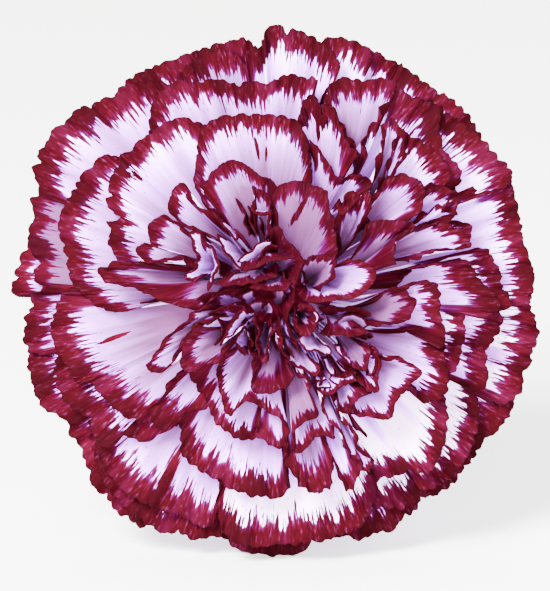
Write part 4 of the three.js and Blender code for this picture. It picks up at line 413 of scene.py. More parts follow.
    ("curl_19", 19, 45, 0.2, (-2.2, -3), (-1, -1.3, -0.5, -2.3, -0.2, -3.4)),
    ("curl_20", 20, 35, 0.5, (0.4, -2.6), (-0.8, 0.5, 0.4, 0.8, 1.6, 0.6, 2, -0.4)),
    ("curl_21", 18.5, 55, 2.2, (-7, -2.4), (-12.5, -1.2, -10.4, 0, -8, 0.5, -6, 0.6, -4.2, 0.9)),
    ("curl_22", 19.5, 40, 0.5, (-3.6, -2), (-5.8, -0.9, -4.8, 0, -3.8, 0.6, -3, 0.5)),
    ("curl_23", 18.5, 55, 2.4, (-7, -4.6), (-10.5, -3.4, -8.8, -2.4, -7, -1.8, -5.4, -1.9, -4.6, -2.4)),
    ("curl_24", 19, 65, 2.4, (-7.4, -6), (-9.2, -3.8, -8.6, -5.2, -8.8, -7, -9.4, -8.4)),
    ("curl_25", 17, 40, 0.3, (12, -7), (9.2, -5, 10.2, -4.2, 11.6, -3.5, 13, -3.4, 14.4, -4.2, 15, -5)),
    ("curl_26", 18.5, 35, 2, (12.4, -7.5), (12.3, -5.2, 13.2, -5, 14, -5.8, 14.3, -7)),
    ("curl_27", 18, 60, 2.5, (10, -5), (6.8, -2.2, 8.2, -1.9, 10, -2.4, 12, -2.2, 14, -2.6, 15.2, -3.6)),
    ("curl_28", 18, 50, 0.9, (14.8, -8), (14.2, -7.3, 14.3, -6.5, 15, -6.3, 15.4, -7)),
    ("curl_29", 18.9, 30, 0.3, (12, -8.8), (9.3, -8, 9.9, -9.3, 10.9, -10.4, 12, -11.6)),
    ("curl_30", 17.6, 65, 2.6, (10, -10.4), (8, -9.8, 8.9, -11, 9.6, -12.2, 10.2, -13)),
    ("curl_31", 18, 40, 0.3, (9.8, -10.8), (7.2, -10.1, 7.9, -11.6, 8.8, -12.8, 9.6, -13.2)),
    ("curl_32", 18, 60, 2, (8.4, -11.8), (6.9, -11, 7, -12.4, 7.8, -13.3)),
    ("curl_33", 18.6, 20, 0.2, (7.4, -12.4), (6.2, -12.9, 6.2, -13.7, 7.2, -13.9, 8.2, -13.7)),
    ("curl_34", 18.2, 20, 0.25, (8, -13), (6.4, -13.9, 6.5, -15, 7.8, -15.1, 9, -14.9)),
    ("curl_35", 18, 30, 0.2, (10, -12.8), (8.4, -13.5, 9.2, -14.3, 10.4, -14.8)),
    ("curl_36", 17.5, 30, 1.6, (8.6, -13.8), (6.6, -15.2, 7.6, -16, 9, -16.4, 9.8, -16.8)),
    ("curl_37", 17.8, 50, 2.4, (11.2, -10.8), (9.6, -12.9, 11, -13.4, 12.2, -13.2, 13, -12.6)),
    ("curl_38", 17.6, 20, 0.7, (14.6, -9.6), (14.4, -12.9, 15.2, -13.1, 16, -12.4, 16.2, -10.6, 16, -9.2)),
    ("curl_39", 18, 10, 3.4, (11.8, 17.2), (9.6, 14, 10.2, 12.2, 11.4, 12.6, 12.4, 13.8, 13.4, 14.8)),
    ("curl_40", 24.2, 30, 0.25, (5.4, -4.2), (5.9, -2.6, 6.6, -2.9, 6.9, -3.9, 6.6, -5)),
    ("curl_41", 17, 35, 5, (-0.8, -2), (-3.4, 0.6, -1.6, 0.9, 0.2, 0.9, 1.8, 1)),
    ("curl_42", 17, 35, 5, (0.2, -3), (1.8, -0.6, 2.4, -2, 2.6, -3.6, 2.2, -5)),
    ("fourth_16", 13.2, 14, 0.9, (8, 13), (5.4, 24.4, 7, 22.6, 8.4, 21, 9.6, 19.2, 11, 18.6, 12.6, 19,
     13.8, 18.8, 15, 17.8, 15.6, 16.6)),
    ("fourth_17", 12.1, 30, 3.5, (6.3, 23.8), (4.2, 27.4, 4.8, 29.6, 5.5, 31.2, 6.4, 30.4, 7.2, 28.8,
     7.8, 27.2)),
    ("fourth_18", 13, 12, 0.6, (22, 9.5), (23.2, 12.6, 25, 13.2, 26.8, 13.9, 28.4, 14.8)),
    ("curl_43", 22, 50, 3.2, (0.6, 0.4), (4.2, 4.6, 3.6, 2.6, 3.1, 0.6, 2.8, -1.4, 2, -3.2, 1.6, -4.6)),
]

# ---------------------------------------------------------------- places and curves


def to_world(points):
    """From the flower's own frame in mm (face in x and y, axis along z) to metres on the table."""
    x, y, z = np.moveaxis(points, -1, 0)
    sine, cosine = math.sin(FACE_TILT), math.cos(FACE_TILT)
    turned = np.stack([x, y * sine - z * cosine, y * cosine + z * sine], axis=-1)
    return (turned + np.array(BLOOM_PLACE)) * 0.001


def from_world(points):
    """The other way round, for places that are given on the table, in mm."""
    x, y, z = np.moveaxis(np.asarray(points, float) - np.array(BLOOM_PLACE), -1, 0)
    sine, cosine = math.sin(FACE_TILT), math.cos(FACE_TILT)
    return np.stack([x, y * sine + z * cosine, z * sine - y * cosine], axis=-1)


def unit(vectors):
    return vectors / np.maximum(np.linalg.norm(vectors, axis=-1, keepdims=True), 1e-9)


def smooth_step(value, low, high):
    share = np.clip((value - low) / (high - low), 0, 1)
    return share * share * (3 - 2 * share)


def soft_noise(place, seed, step=1.0):
    """Smooth noise from -1 to 1 along a line, with a knot every step."""
    knots = np.random.default_rng(seed).uniform(-1, 1, 4096)
    place = np.asarray(place, float) / step + 1000
    low = np.floor(place).astype(int)
    share = smooth_step(place - low, 0, 1)
    return knots[low % 4096] * (1 - share) + knots[(low + 1) % 4096] * share


def zigzag(place):
    """1 at every whole number and 0 half-way between."""
    return np.abs(place % 1 - 0.5) * 2


def lengths_along(points, axis):
    """How far each point of a grid lies from the grid's start, measured along one direction."""
    steps = np.linalg.norm(np.diff(points, axis=axis), axis=-1)
    start = np.zeros_like(np.take(steps, [0], axis=axis))
    return np.concatenate([start, np.cumsum(steps, axis=axis)], axis=axis)


def smooth_curve(points, pieces=24):
    """A smooth curve through points (centripetal Catmull-Rom)."""
    points = np.asarray(points, float)
    ends = [2 * points[0] - points[1]], [2 * points[-1] - points[-2]]
    p = np.concatenate([ends[0], points, ends[1]])
    step = np.diff(p, axis=0)
    gap = np.linalg.norm(step, axis=1)[:, None] ** 0.5
    speed = step[:-1] / gap[:-1] - (p[2:] - p[:-2]) / (gap[:-1] + gap[1:]) + step[1:] / gap[1:]
    s = np.linspace(0, 1, pieces, endpoint=False)[:, None]
    s2, s3 = s ** 2, s ** 3
    parts = []
    for k in range(1, len(p) - 2):
        leave, arrive = speed[k - 1] * gap[k], speed[k] * gap[k]
        parts.append((2 * s3 - 3 * s2 + 1) * p[k] + (s3 - 2 * s2 + s) * leave
                     + (3 * s2 - 2 * s3) * p[k + 1] + (s3 - s2) * arrive)
    return np.concatenate(parts + [points[-1:]])


def look_up(places, known, rows):
    """The values between rows that are known at some places, by straight lines."""
    return np.stack([np.interp(places, known, column) for column in rows.T], axis=-1)


def evenly(points, count):
    """The same curve cut into equal lengths."""
    distance = lengths_along(points, 0)
    return look_up(np.linspace(0, distance[-1], count), distance, points)


def grid_normals(grid):
    return unit(np.cross(np.gradient(grid, axis=1), np.gradient(grid, axis=0)))


# ---------------------------------------------------------------- making pieces


def make_object(name, vertices, faces, material):
    mesh = bpy.data.meshes.new(name)
    mesh.from_pydata(vertices.tolist(), [], faces)
    mesh.update()
    mesh.shade_smooth()
    mesh.materials.append(material)
    made = bpy.data.objects.new(name, mesh)
    bpy.context.scene.collection.objects.link(made)
    return made


def paint(made, **fields):
    """Keeps a number for every vertex, which the material reads by name."""
    for name, values in fields.items():
        layer = made.data.attributes.new(name, "FLOAT", "POINT")
        layer.data.foreach_set("value", np.asarray(values, np.float32).ravel())


def finish_piece(piece, slot, *nodes):
    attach(piece, "root")
    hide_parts(*nodes)


def sheet_faces(rows, columns):
    """Faces of a closed thin blade: a front and a back grid, and the strip round its edge."""
    at = np.arange(rows * columns).reshape(rows, columns)
    back = rows * columns
    a, b, c, d = at[:-1, :-1], at[:-1, 1:], at[1:, 1:], at[1:, :-1]
    front = np.stack([a, b, c, d], axis=-1).reshape(-1, 4)
    behind = np.stack([a, d, c, b], axis=-1).reshape(-1, 4) + back
    ring = np.concatenate([at[0, :-1], at[:-1, -1], at[-1, :0:-1], at[:0:-1, 0]])
    after = np.roll(ring, -1)
    edge = np.stack([ring, ring + back, after + back, after], axis=-1)
    return np.concatenate([front, behind, edge]).tolist()


def make_blade(name, grid, thickness, material):
    """A thin closed blade round a grid of points in the flower's own frame."""
    half = np.broadcast_to(np.asarray(thickness, float) / 2, grid.shape[:2])[..., None]
    offset = grid_normals(grid) * half
    both = np.concatenate([grid + offset, grid - offset]).reshape(-1, 3)
    return make_object(name, to_world(both), sheet_faces(*grid.shape[:2]), material)


def make_loft(name, rings, material):
    """A closed body through rings of points, capped from the middle of both ends."""
    rows, sides = rings.shape[:2]
    at = np.arange(rows * sides).reshape(rows, sides)
    after = np.roll(at, -1, axis=1)
    walls = np.stack([at[:-1], after[:-1], after[1:], at[1:]], axis=-1).reshape(-1, 4).tolist()
    first, last = rows * sides, rows * sides + 1
    caps = [[int(after[0, k]), int(at[0, k]), first] for k in range(sides)]
    caps += [[int(at[-1, k]), int(after[-1, k]), last] for k in range(sides)]
    points = np.concatenate([rings.reshape(-1, 3), rings[:1].mean(axis=1), rings[-1:].mean(axis=1)])
    return make_object(name, to_world(points), walls + caps, material)


# ---------------------------------------------------------------- materials


def colour(hex_code):
    """An sRGB hex colour as linear red, green, blue and alpha."""
    values = [int(hex_code[k:k + 2], 16) / 255 for k in (1, 3, 5)]
    linear = [v / 12.92 if v <= 0.04045 else ((v + 0.055) / 1.055) ** 2.4 for v in values]
    return (*linear, 1.0)


def put(tree, kind, inputs=(), **settings):
    """Adds a node with its settings. Its inputs are listed in their order or given by name or
    number. A node or socket among them is linked, and any other is a value."""
    node = tree.nodes.new(kind)
    for name, value in settings.items():
        setattr(node, name, value)
    for name, value in inputs.items() if isinstance(inputs, dict) else enumerate(inputs):
        if isinstance(value, bpy.types.Node):
            value = next(output for output in value.outputs if output.enabled)
        if isinstance(value, bpy.types.NodeSocket):
            tree.links.new(value, node.inputs[name])
        else:
            node.inputs[name].default_value = value
    return node


def new_material(name):
    made = bpy.data.materials.new(name)
    made.use_nodes = True
    made.node_tree.nodes.clear()
    return made, made.node_tree


def streaks(tree, across, across_count, down, down_count, detail=2.0, roughness=0.5):
    """Noise drawn out into streaks; the counts are waves per mm across them and down them."""
    fine = put(tree, "ShaderNodeMath", (across, across_count), operation="MULTIPLY")
    slow = put(tree, "ShaderNodeMath", (down, down_count), operation="MULTIPLY")
    place = put(tree, "ShaderNodeCombineXYZ", (fine, slow, 0.0))
    look = {"Vector": place, "Scale": 1.0, "Detail": detail, "Roughness": roughness}
    return put(tree, "ShaderNodeTexNoise", look, noise_dimensions="2D")


def glaze(tree, base, *coats):
    """Lays coats of colour over a base, each as thick as a field says. A coat is the field, two
    of its values, the shares that the coat has there, and its colour."""
    for field, low, high, share_low, share_high, code in coats:
        share = put(tree, "ShaderNodeMapRange", (field, low, high, share_low, share_high))
        base = put(tree, "ShaderNodeMix", {0: share, 6: base, 7: colour(code)}, data_type="RGBA")
    return base


def fill_ramp(node, *steps):
    """Gives a colour ramp its steps, each a place from 0 to 1 and a colour."""
    elements = node.color_ramp.elements
    while len(elements) < len(steps):
        elements.new(0.5)
    for element, (position, code) in zip(elements, steps):
        element.position = position
        element.color = colour(code)
    return node


# A Map Range below turns a field's range, its second and third input, into the range that the
# last two inputs give, and holds it at its ends.


def picotee_petal():
    """Fresh petal: soft, matt and faintly translucent, white tinged with lilac. The crimson of
    the margin is drawn out into fine needles that run towards the base and fade to magenta."""
    made, tree = new_material("picotee_petal_tissue")
    fields = ("rim_mm", "along_mm", "band_mm", "fleck", "deep_mm", "fold", "shade", "frontal")
    rim, along, band, fleck, deep, fold, shade, frontal = [
        put(tree, "ShaderNodeAttribute", attribute_name=name).outputs["Fac"] for name in fields]

    # Needles about 0.5 mm wide reach up to about 4 mm past the solid margin, which is itself a
    # little uneven. Flecks lie further in, ragged by the same noise.
    needles = streaks(tree, along, 1.9, rim, 0.22, 2.5, 0.6)
    groups = streaks(tree, along, 0.42, rim, 0.0, 1.0)
    ragged_rim = put(tree, "ShaderNodeMapRange", (needles, 0.38, 0.7, 0.0, 1.0))
    spike = put(tree, "ShaderNodeMath", (ragged_rim, frontal), operation="MULTIPLY")
    uneven = put(tree, "ShaderNodeMapRange", (groups, 0.3, 0.7, 0.62, 1.2))
    solid = put(tree, "ShaderNodeMath", (band, uneven), operation="MULTIPLY")
    extra = put(tree, "ShaderNodeMapRange", (band, 0.2, 1.2, 0.1, 1.4))
    longest = put(tree, "ShaderNodeMath", (band, 0.6, extra), operation="MULTIPLY_ADD")
    reach = put(tree, "ShaderNodeMath", (spike, longest, solid), operation="MULTIPLY_ADD")
    depth = put(tree, "ShaderNodeMath", (rim, reach), operation="DIVIDE")
    soft = dict(interpolation_type="SMOOTHSTEP")
    margin = put(tree, "ShaderNodeMapRange", (depth, 0.93, 1.07, 1.0, 0.0), **soft)
    ragged = put(tree, "ShaderNodeMath", (needles, 1.2, fleck), operation="MULTIPLY_ADD")
    wedge = put(tree, "ShaderNodeMapRange", (ragged, 1.45, 1.58, 1.0, 0.0), **soft)
    stain = put(tree, "ShaderNodeMath", (margin, wedge), operation="MAXIMUM")

    # Crimson, darkest along the very edge and magenta where the needles thin out. Strands of deeper and paler
    # dye 0.3 mm wide run through it. Painted highlight makes it paler on ridges and painted shade darker in
    # valleys; deep in the bloom painted light makes it wine red, and painted shade makes it nearly black on
    # the darkest mauve petals.
    crimson = fill_ramp(put(tree, "ShaderNodeValToRGB", (depth,)),
                        (0.0, "#1C0205"), (0.1, "#250307"), (0.45, "#2A0309"), (0.72, "#340416"),
                        (0.86, "#460D40"), (1.0, "#641A72"))
    flecked = put(tree, "ShaderNodeMix", {0: wedge, 6: crimson, 7: colour("#2E030B")}, data_type="RGBA")
    strands = streaks(tree, along, 2.6, rim, 0.7)
    dyed_and_shaded = glaze(tree, flecked,
                 (strands, 0.45, 0.62, 0.0, 0.7, "#1C0205"), (strands, 0.24, 0.38, 0.4, 0.0, "#4C2048"),
                 (fold, 0.2, 1.0, 0.0, 0.2, "#440A2A"), (fold, -0.9, 0.1, 0.85, 0.0, "#1A0205"),
                 (deep, 4.0, 12.0, 0.0, 0.8, "#520A1E"), (shade, 0.3, 1.2, 0.0, 0.3, "#1C020A"))

    # White ground. Lilac veins 0.8 mm apart fan out from the base between broad lilac bands. The base turns
    # lilac, partly its own tinge and partly painted shade, and painted shade turns the valleys, the petals
    # deep in the bloom and the shaded petals lilac, then mauve and then maroon.
    veins = streaks(tree, along, 1.25, rim, 0.07)
    broad = streaks(tree, along, 0.26, rim, 0.03, 1.0)
    from_margin = put(tree, "ShaderNodeMapRange", (rim, 0.5, 6.0, 0.5, 1.0))
    tinge_and_shade = put(tree, "ShaderNodeMath", (shade, from_margin), operation="MULTIPLY")
    for levels in ((veins, 0.35, 0.75, 0.0, 0.1), (broad, 0.48, 0.7, 0.0, 0.2), (rim, 4.0, 14.0, 0.0, 0.25),
                   (fold, -1.0, 0.0, 0.3, 0.0), (deep, 1.0, 9.0, 0.0, 0.3)):
        tinge = put(tree, "ShaderNodeMapRange", levels)
        tinge_and_shade = put(tree, "ShaderNodeMath", (tinge_and_shade, tinge), operation="ADD")
    # The ramp runs from the petal's lilac white into lilac, and then into the mauve and maroon of painted
    # shade.
    white = fill_ramp(put(tree, "ShaderNodeValToRGB", (tinge_and_shade,)),
                      (0.0, "#F2CBFF"), (0.22, "#D08AF6"), (0.45, "#A45CC4"), (0.7, "#7C4A8E"),
                      (1.0, "#563056"))

    # Small purple specks about 3 mm apart lie on it, and painted shade makes the bottom of the bloom dull
    # mauve.
    speck_place = put(tree, "ShaderNodeCombineXYZ", (along, rim, 0.0))
    speck_look = {"Vector": speck_place, "Scale": 0.32}
    specks = put(tree, "ShaderNodeTexVoronoi", speck_look, voronoi_dimensions="2D")
    specked = glaze(tree, white, (specks, 0.02, 0.07, 0.8, 0.0, "#6A2478"))
    recess_shade = put(tree, "ShaderNodeMapRange", (deep, 10.0, 18.0, 0.0, 0.6), **soft)
    ground = put(tree, "ShaderNodeMix", {0: recess_shade, 6: specked, 7: colour("#94588A")}, data_type="RGBA")

    painted = put(tree, "ShaderNodeMix", {0: stain, 6: ground, 7: dyed_and_shaded}, data_type="RGBA")
    relief = put(tree, "ShaderNodeBump", {"Height": veins, "Strength": 0.35, "Distance": 0.0002})
    skin = put(tree, "ShaderNodeBsdfPrincipled", {
        "Base Color": painted, "Roughness": 0.7, "IOR": 1.38, "Specular IOR Level": 0.01, "Normal": relief,
        "Subsurface Weight": 0.05, "Subsurface Radius": (1.0, 0.5, 0.7), "Subsurface Scale": 0.0003})
    put(tree, "ShaderNodeOutputMaterial", {"Surface": skin})
    return made


def waxy_green(name, deep, pale, line_spacing, roughness):
    """Living stalk or leaf: green under a thin coat of grey-blue wax, which makes it paler in
    patches about 7 mm wide, with fine dark lines along it."""
    made, tree = new_material(name)
    across, length = [put(tree, "ShaderNodeAttribute", attribute_name=field).outputs["Fac"]
                      for field in ("across_mm", "length_mm")]
    lines = streaks(tree, across, 1 / line_spacing, length, 0.08)
    solid = put(tree, "ShaderNodeTexCoord").outputs["Object"]
    patches = put(tree, "ShaderNodeTexNoise", {"Vector": solid, "Scale": 140.0, "Detail": 3.0})
    lined = glaze(tree, colour(deep), (patches, 0.35, 0.65, 0.15, 0.85, pale),
                  (lines, 0.35, 0.7, 0.0, 0.35, "#26381C"))
    relief = put(tree, "ShaderNodeBump", {"Height": lines, "Strength": 0.4, "Distance": 0.0002})
    skin = put(tree, "ShaderNodeBsdfPrincipled", {
        "Base Color": lined, "Roughness": roughness, "IOR": 1.42, "Specular IOR Level": 0.3, "Normal": relief,
        "Subsurface Weight": 0.1, "Subsurface Radius": (0.5, 1.0, 0.4), "Subsurface Scale": 0.001,
        "Sheen Weight": 0.08, "Sheen Roughness": 0.5})
    put(tree, "ShaderNodeOutputMaterial", {"Surface": skin})
    return made


def cut_pith():
    """Freshly cut stalk: wet, pale green flesh, mottled darker and lighter by cells 0.4 mm wide."""
    made, tree = new_material("stem_cut_flesh")
    solid = put(tree, "ShaderNodeTexCoord").outputs["Object"]
    cells = put(tree, "ShaderNodeTexNoise", {"Vector": solid, "Scale": 2500.0, "Detail": 2.0})
    tones = {0: cells, 6: colour("#B9C78C"), 7: colour("#D9DDB4")}
    flesh = put(tree, "ShaderNodeMix", tones, data_type="RGBA")
    skin = put(tree, "ShaderNodeBsdfPrincipled", {"Base Color": flesh, "Roughness": 0.35, "IOR": 1.36})
    put(tree, "ShaderNodeOutputMaterial", {"Surface": skin})
    return made


def plain_paper():
    """The studio's pale paper floor, smooth and matt."""
    made, tree = new_material("studio_paper")
    skin = put(tree, "ShaderNodeBsdfPrincipled", {"Base Color": colour("#F3F2F1"), "Roughness": 0.9})
    put(tree, "ShaderNodeOutputMaterial", {"Surface": skin})
    return made


petal_tissue = picotee_petal()
calyx_skin = waxy_green("calyx_skin_waxy", "#324E1A", "#566E3E", 0.6, 0.5)
bract_skin = waxy_green("bract_skin_waxy", "#3D5620", "#6A7E4A", 0.5, 0.55)
stem_skin = waxy_green("stem_skin_waxy", "#284220", "#4A6444", 0.5, 0.5)
stem_pith = cut_pith()
leaf_skin = waxy_green("leaf_skin_waxy", "#2A4428", "#4E6856", 0.45, 0.55)

# ---------------------------------------------------------------- petals


def dome_rise(radius):
    return np.interp(radius, *zip(*DOME))


def blade_controls(edge, rise, slope, middle):
    """Rows of points that pull a petal's blade into its curve: at the root, at the middle that
    it fans out from, short of the rim and on it. Also the way from that middle to the rim."""
    fan = edge - edge.mean(axis=0)
    outward = edge.mean(axis=0) / np.linalg.norm(edge.mean(axis=0))
    hub = np.array(middle[:2] or outward * MIDDLE_RADIUS, float)
    hub_rise = middle[2] if len(middle) == 3 else MIDDLE_RISE[0] + MIDDLE_RISE[1] * rise
    root = hub * min(1, ROOT_RADIUS / max(np.linalg.norm(hub), 1e-6))
    standing_out = np.maximum(rise - dome_rise(np.hypot(*edge.T)) - FREE_RISE, 0)
    rises = rise - LEAN_BACK * standing_out
    straight = (edge - hub) * STRAIGHT_SHARE
    tilt = math.radians(slope)
    below = rises - np.linalg.norm(straight, axis=1) * math.sin(tilt)
    rows = ((root + fan * ROOT_SPREAD, ROOT_RISE), (hub + fan * MIDDLE_SPREAD, hub_rise),
            (edge - straight * math.cos(tilt), below), (edge, rises))
    controls = [np.column_stack([face, np.broadcast_to(height, len(edge))]) for face, height in rows]
    return controls, np.linalg.norm(edge - hub, axis=1)


def tooth_cuts(s, ring, seed):
    """How far a blade stops short of its rim: uneven teeth with small nicks between them."""
    teeth = zigzag(s / TOOTH_SPACING + 0.5 * soft_noise(s, seed, 4))
    nicks = zigzag(s / NICK_SPACING + soft_noise(s, seed + 1, 3))
    unevenness = 0.62 + 0.38 * soft_noise(s, seed + 2, 2)
    cuts = TOOTH_DEPTH * RINGS[ring]["teeth"] * teeth ** 1.6 * unevenness
    return cuts + NICK_DEPTH * RINGS[ring]["nicks"] * nicks


def ruffle_heights(edge, s, t, from_rim, ring, seed):
    """How far a blade lifts off its plain curve: ruffles towards the rim, a finer crimp and frill
    along it, and shallow pleats that fan from the base."""
    if ring in RING_WAVES:
        wave = RING_WAVES[ring]
        angle = np.arctan2(edge[:, 1], edge[:, 0])
        sway = 1.3 * np.sin(3 * angle + wave["phase"]) + 2.1 * soft_noise(angle, 7, 0.35)
        ruffle = wave["height"] * np.sin(wave["count"] * angle + sway + wave["phase"])
    else:
        height, unevenness, wave_length = LOOSE_RUFFLE
        ruffle = height * np.sin(2 * math.pi * s / wave_length + seed)
        ruffle += unevenness * soft_noise(s, seed + 3, 2.2)
    crimp = CRIMP[0] * soft_noise(s, seed + 4) * np.exp(-from_rim / CRIMP[1])
    frill = FRILL[0] * np.sin(2 * math.pi * s / FRILL_LENGTH + 2.5 * soft_noise(s, seed + 6, 4))
    pleat = RINGS[ring]["pleats"] * soft_noise(s, seed + 5, 2.6) * smooth_step(t, 0.35, 0.8)
    lift = ruffle * t ** 4 + crimp + frill * np.exp(-from_rim / FRILL[1]) + pleat
    return lift * RINGS[ring]["ruffles"]


def petal_grid(ring, rise, slope, middle, rim, seed):
    """The middle surface of one petal, and what its material reads: the place along the rim, the distances
    from the rim and from the nearer side, and how high each point's fold lies, which the material paints as
    highlight and shade."""
    curve = smooth_curve(rim)
    length = lengths_along(curve, 0)[-1]
    columns = max(FEWEST_COLUMNS, round(length / COLUMN_SPACING))
    edge = evenly(curve, columns)
    s = np.linspace(0, length, columns)
    (start, bend, before, ends), way_out = blade_controls(edge, rise, slope, middle)
    last = 1 - tooth_cuts(s, ring, seed) / np.maximum(way_out * BLADE_SLACK, SHORTEST_BLADE)
    rows = 1 - (1 - np.linspace(0, 1, PETAL_ROWS)) ** ROW_CROWDING
    t = (rows[:, None] * last)[..., None]
    grid = ((1 - t) ** 3 * start + 3 * (1 - t) ** 2 * t * bend
            + 3 * (1 - t) * t ** 2 * before + t ** 3 * ends)
    out = lengths_along(grid, 0)
    from_rim = out[-1] - out
    side = lengths_along(grid, 1)
    from_side = np.minimum(side, side[:, -1:] - side)
    lift = ruffle_heights(edge, s, t[..., 0], from_rim, ring, seed)
    grid = grid + grid_normals(grid) * lift[..., None]
    return grid, s, from_rim, from_side, np.clip(lift / FULL_FOLD, -1, 1)


def fleck_field(name, grid):
    """Below 1 inside a fleck, which is an ellipse drawn out along a line on the petal's face."""
    field = np.full(grid.shape[:2], NO_FLECK)
    for start, end, half_width in FLECKS.get(name, ()):
        start = np.array(start)
        axis = np.array(end) - start
        half_length = np.linalg.norm(axis) / 2
        axis = axis / (2 * half_length)
        from_middle = grid[..., :2] - start - axis * half_length
        down = from_middle @ axis
        across = from_middle[..., 0] * axis[1] - from_middle[..., 1] * axis[0]
        field = np.minimum(field, np.hypot(down / half_length, across / half_width))
    return field


def rest_on_table(grid):
    """Bends what would reach below the table up, so that the lowest rim lies on it."""
    world = to_world(grid) * 1000
    height = world[..., 2]
    room = BENT_BELOW - LOWEST_POINT
    bent = LOWEST_POINT + room * np.exp((height - BENT_BELOW) / room)
    world[..., 2] = np.where(height < BENT_BELOW, bent, height)
    return from_world(world)


def two_faces(upper_first, front, back=None):
    """The numbers of both faces of a petal, in the order in which its blade holds them."""
    pair = [front, front if back is None else back]
    return np.concatenate([field.ravel() for field in (pair if upper_first else pair[::-1])])


def make_petal(index, name, rise, slope, band, middle, flat_rim):
    ring = name.split("_")[0]
    style = RINGS[ring]
    rim = np.reshape(flat_rim, (-1, 2))
    grid, s, from_rim, from_side, fold = petal_grid(ring, rise, slope, middle, rim, 100 * index + 17)
    grid = rest_on_table(grid)
    petal = make_blade("petal_" + name, grid, PETAL_THICKNESS, petal_tissue)
    # The crimson margin also runs down a petal's sides, and gets narrower further from the rim.
    side_distance = from_side * 0.7 + 0.35 * np.maximum(from_rim - 3, 0)
    edge_distance = np.minimum(from_rim, side_distance)
    frontal = smooth_step(side_distance - from_rim, -1.5, 0.5) * style["needles"]
    radius = np.hypot(grid[..., 0], grid[..., 1])
    # Painted shade and light: how far below the dome a point lies, and how far its white is shaded, more near
    # the axis.
    deep = dome_rise(radius) - grid[..., 2]
    shade = SHADES.get(name, style["shade"]) + CENTRE_SHADE * (1 - smooth_step(radius, *CENTRE_RADII))
    up = grid_normals(grid)[..., 2].mean() > 0
    # The places along the rims of two petals lie far apart, so that no two have the same needles.
    places = np.broadcast_to(s + 61.7 * index, edge_distance.shape)
    # The back of a petal gets almost none of the painted shade, and its fold highlight and shade turn the
    # other way.
    paint(petal,
          rim_mm=two_faces(up, edge_distance),
          along_mm=two_faces(up, places),
          band_mm=np.full(2 * edge_distance.size, band * style["margin"]),
          deep_mm=two_faces(up, deep, np.minimum(deep, 1)),
          fleck=two_faces(up, fleck_field(name, grid)),
          fold=two_faces(up, fold, -fold),
          frontal=two_faces(up, frontal),
          shade=two_faces(up, shade, np.minimum(shade, BACK_SHADE)))
    finish_piece(petal, "petal", "bloom")


for index, row in enumerate(PETALS):
    make_petal(index, *row)

# ---------------------------------------------------------------- claws and core of the bloom


def rounded_profile(profile, count):
    """A smooth line through a profile of heights and radii, as two columns."""
    line = evenly(smooth_curve(profile), count)
    return line[:, :1], line[:, 1:]


def angles_round(sides):
    return np.linspace(0, 2 * math.pi, sides, endpoint=False)


def turned_rings(rises, radii, angle):
    """Rings round the flower's axis, from heights and radii that may follow the ring."""
    rings = np.broadcast_arrays(radii * np.cos(angle), radii * np.sin(angle), rises)
    return np.stack(rings, axis=-1)


def make_claws():
    """The petals' narrow claws, packed side by side in the calyx, and the folded core above. The claws are
    pale, and painted shade makes the core dark mauve, with patches of crimson."""
    sides = 220
    angle = angles_round(sides)
    rises, radii = rounded_profile(CLAWS_PROFILE, 110)
    folds = np.abs(np.sin(CLAW_FOLDS / 2 * angle + 0.6 * np.sin(rises / 3))) ** 0.7
    flute = (folds - 0.6) * np.interp(rises, [-34, -30, -2, 6, 15], [0, 0.45, 0.6, 1.6, 1.2])
    rings = turned_rings(rises, radii, angle)
    rings[..., :2] *= (1 + flute / np.maximum(radii, 1))[..., None]
    claws = make_loft("petal_claws", rings, petal_tissue)
    rise = np.append(np.repeat(rises, sides), [rises[0], rises[-1]])
    core = rise > CORE_RISE
    none = np.zeros(len(rise))
    # Painted shade turns the core dark mauve.
    paint(claws, rim_mm=np.interp(rise, [-8, 2, 9, 12], [5, 0.85, 0.85, 0.2]),
          along_mm=np.append(np.tile(angle, len(rises)) * 7, [0, 0]), band_mm=none + 1, fleck=none + NO_FLECK,
          fold=none, shade=np.where(core, 1.3, 0.05), frontal=none, deep_mm=np.where(core, 14.0, 0.0))
    finish_piece(claws, "petal", "bloom")


make_claws()

# ---------------------------------------------------------------- calyx and bracts


def make_calyx():
    """A ribbed tube with a closed foot and five pointed teeth, whose wall thins to their tips."""
    angle = angles_round(200)
    rises, radii = rounded_profile(CALYX_PROFILE, 60)
    share = (rises - rises[0]) / (rises[-1] - rises[0])
    tooth = (1 - zigzag(angle / (2 * math.pi) * CALYX_TEETH)) ** 0.85
    height = rises + share ** 6 * tooth * TOOTH_LENGTH
    flare = 1 + 0.04 * tooth * share ** 6
    ribs = CALYX_RIB * np.cos(CALYX_RIBS * angle) * np.clip(share * 4, 0, 1)
    outer = (radii + ribs) * flare
    wall = CALYX_WALL * np.interp(share, [0, 0.1, 0.8, 1], [1, 1, 0.8, 0.35])
    inner = (outer - wall)[::-1]
    inner_height = (height + np.where(share < 0.06, CALYX_WALL, 0))[::-1]
    rings = turned_rings(np.concatenate([height, inner_height]), np.concatenate([outer, inner]), angle)
    calyx = make_loft("calyx_tube", rings, calyx_skin)
    across = np.append(np.tile(angle * 7, len(rings)), [0, 0])
    paint(calyx, across_mm=across, length_mm=np.append(rings[..., 2], [rises[0], rises[0]]))
    finish_piece(calyx, "calyx", "calyx")


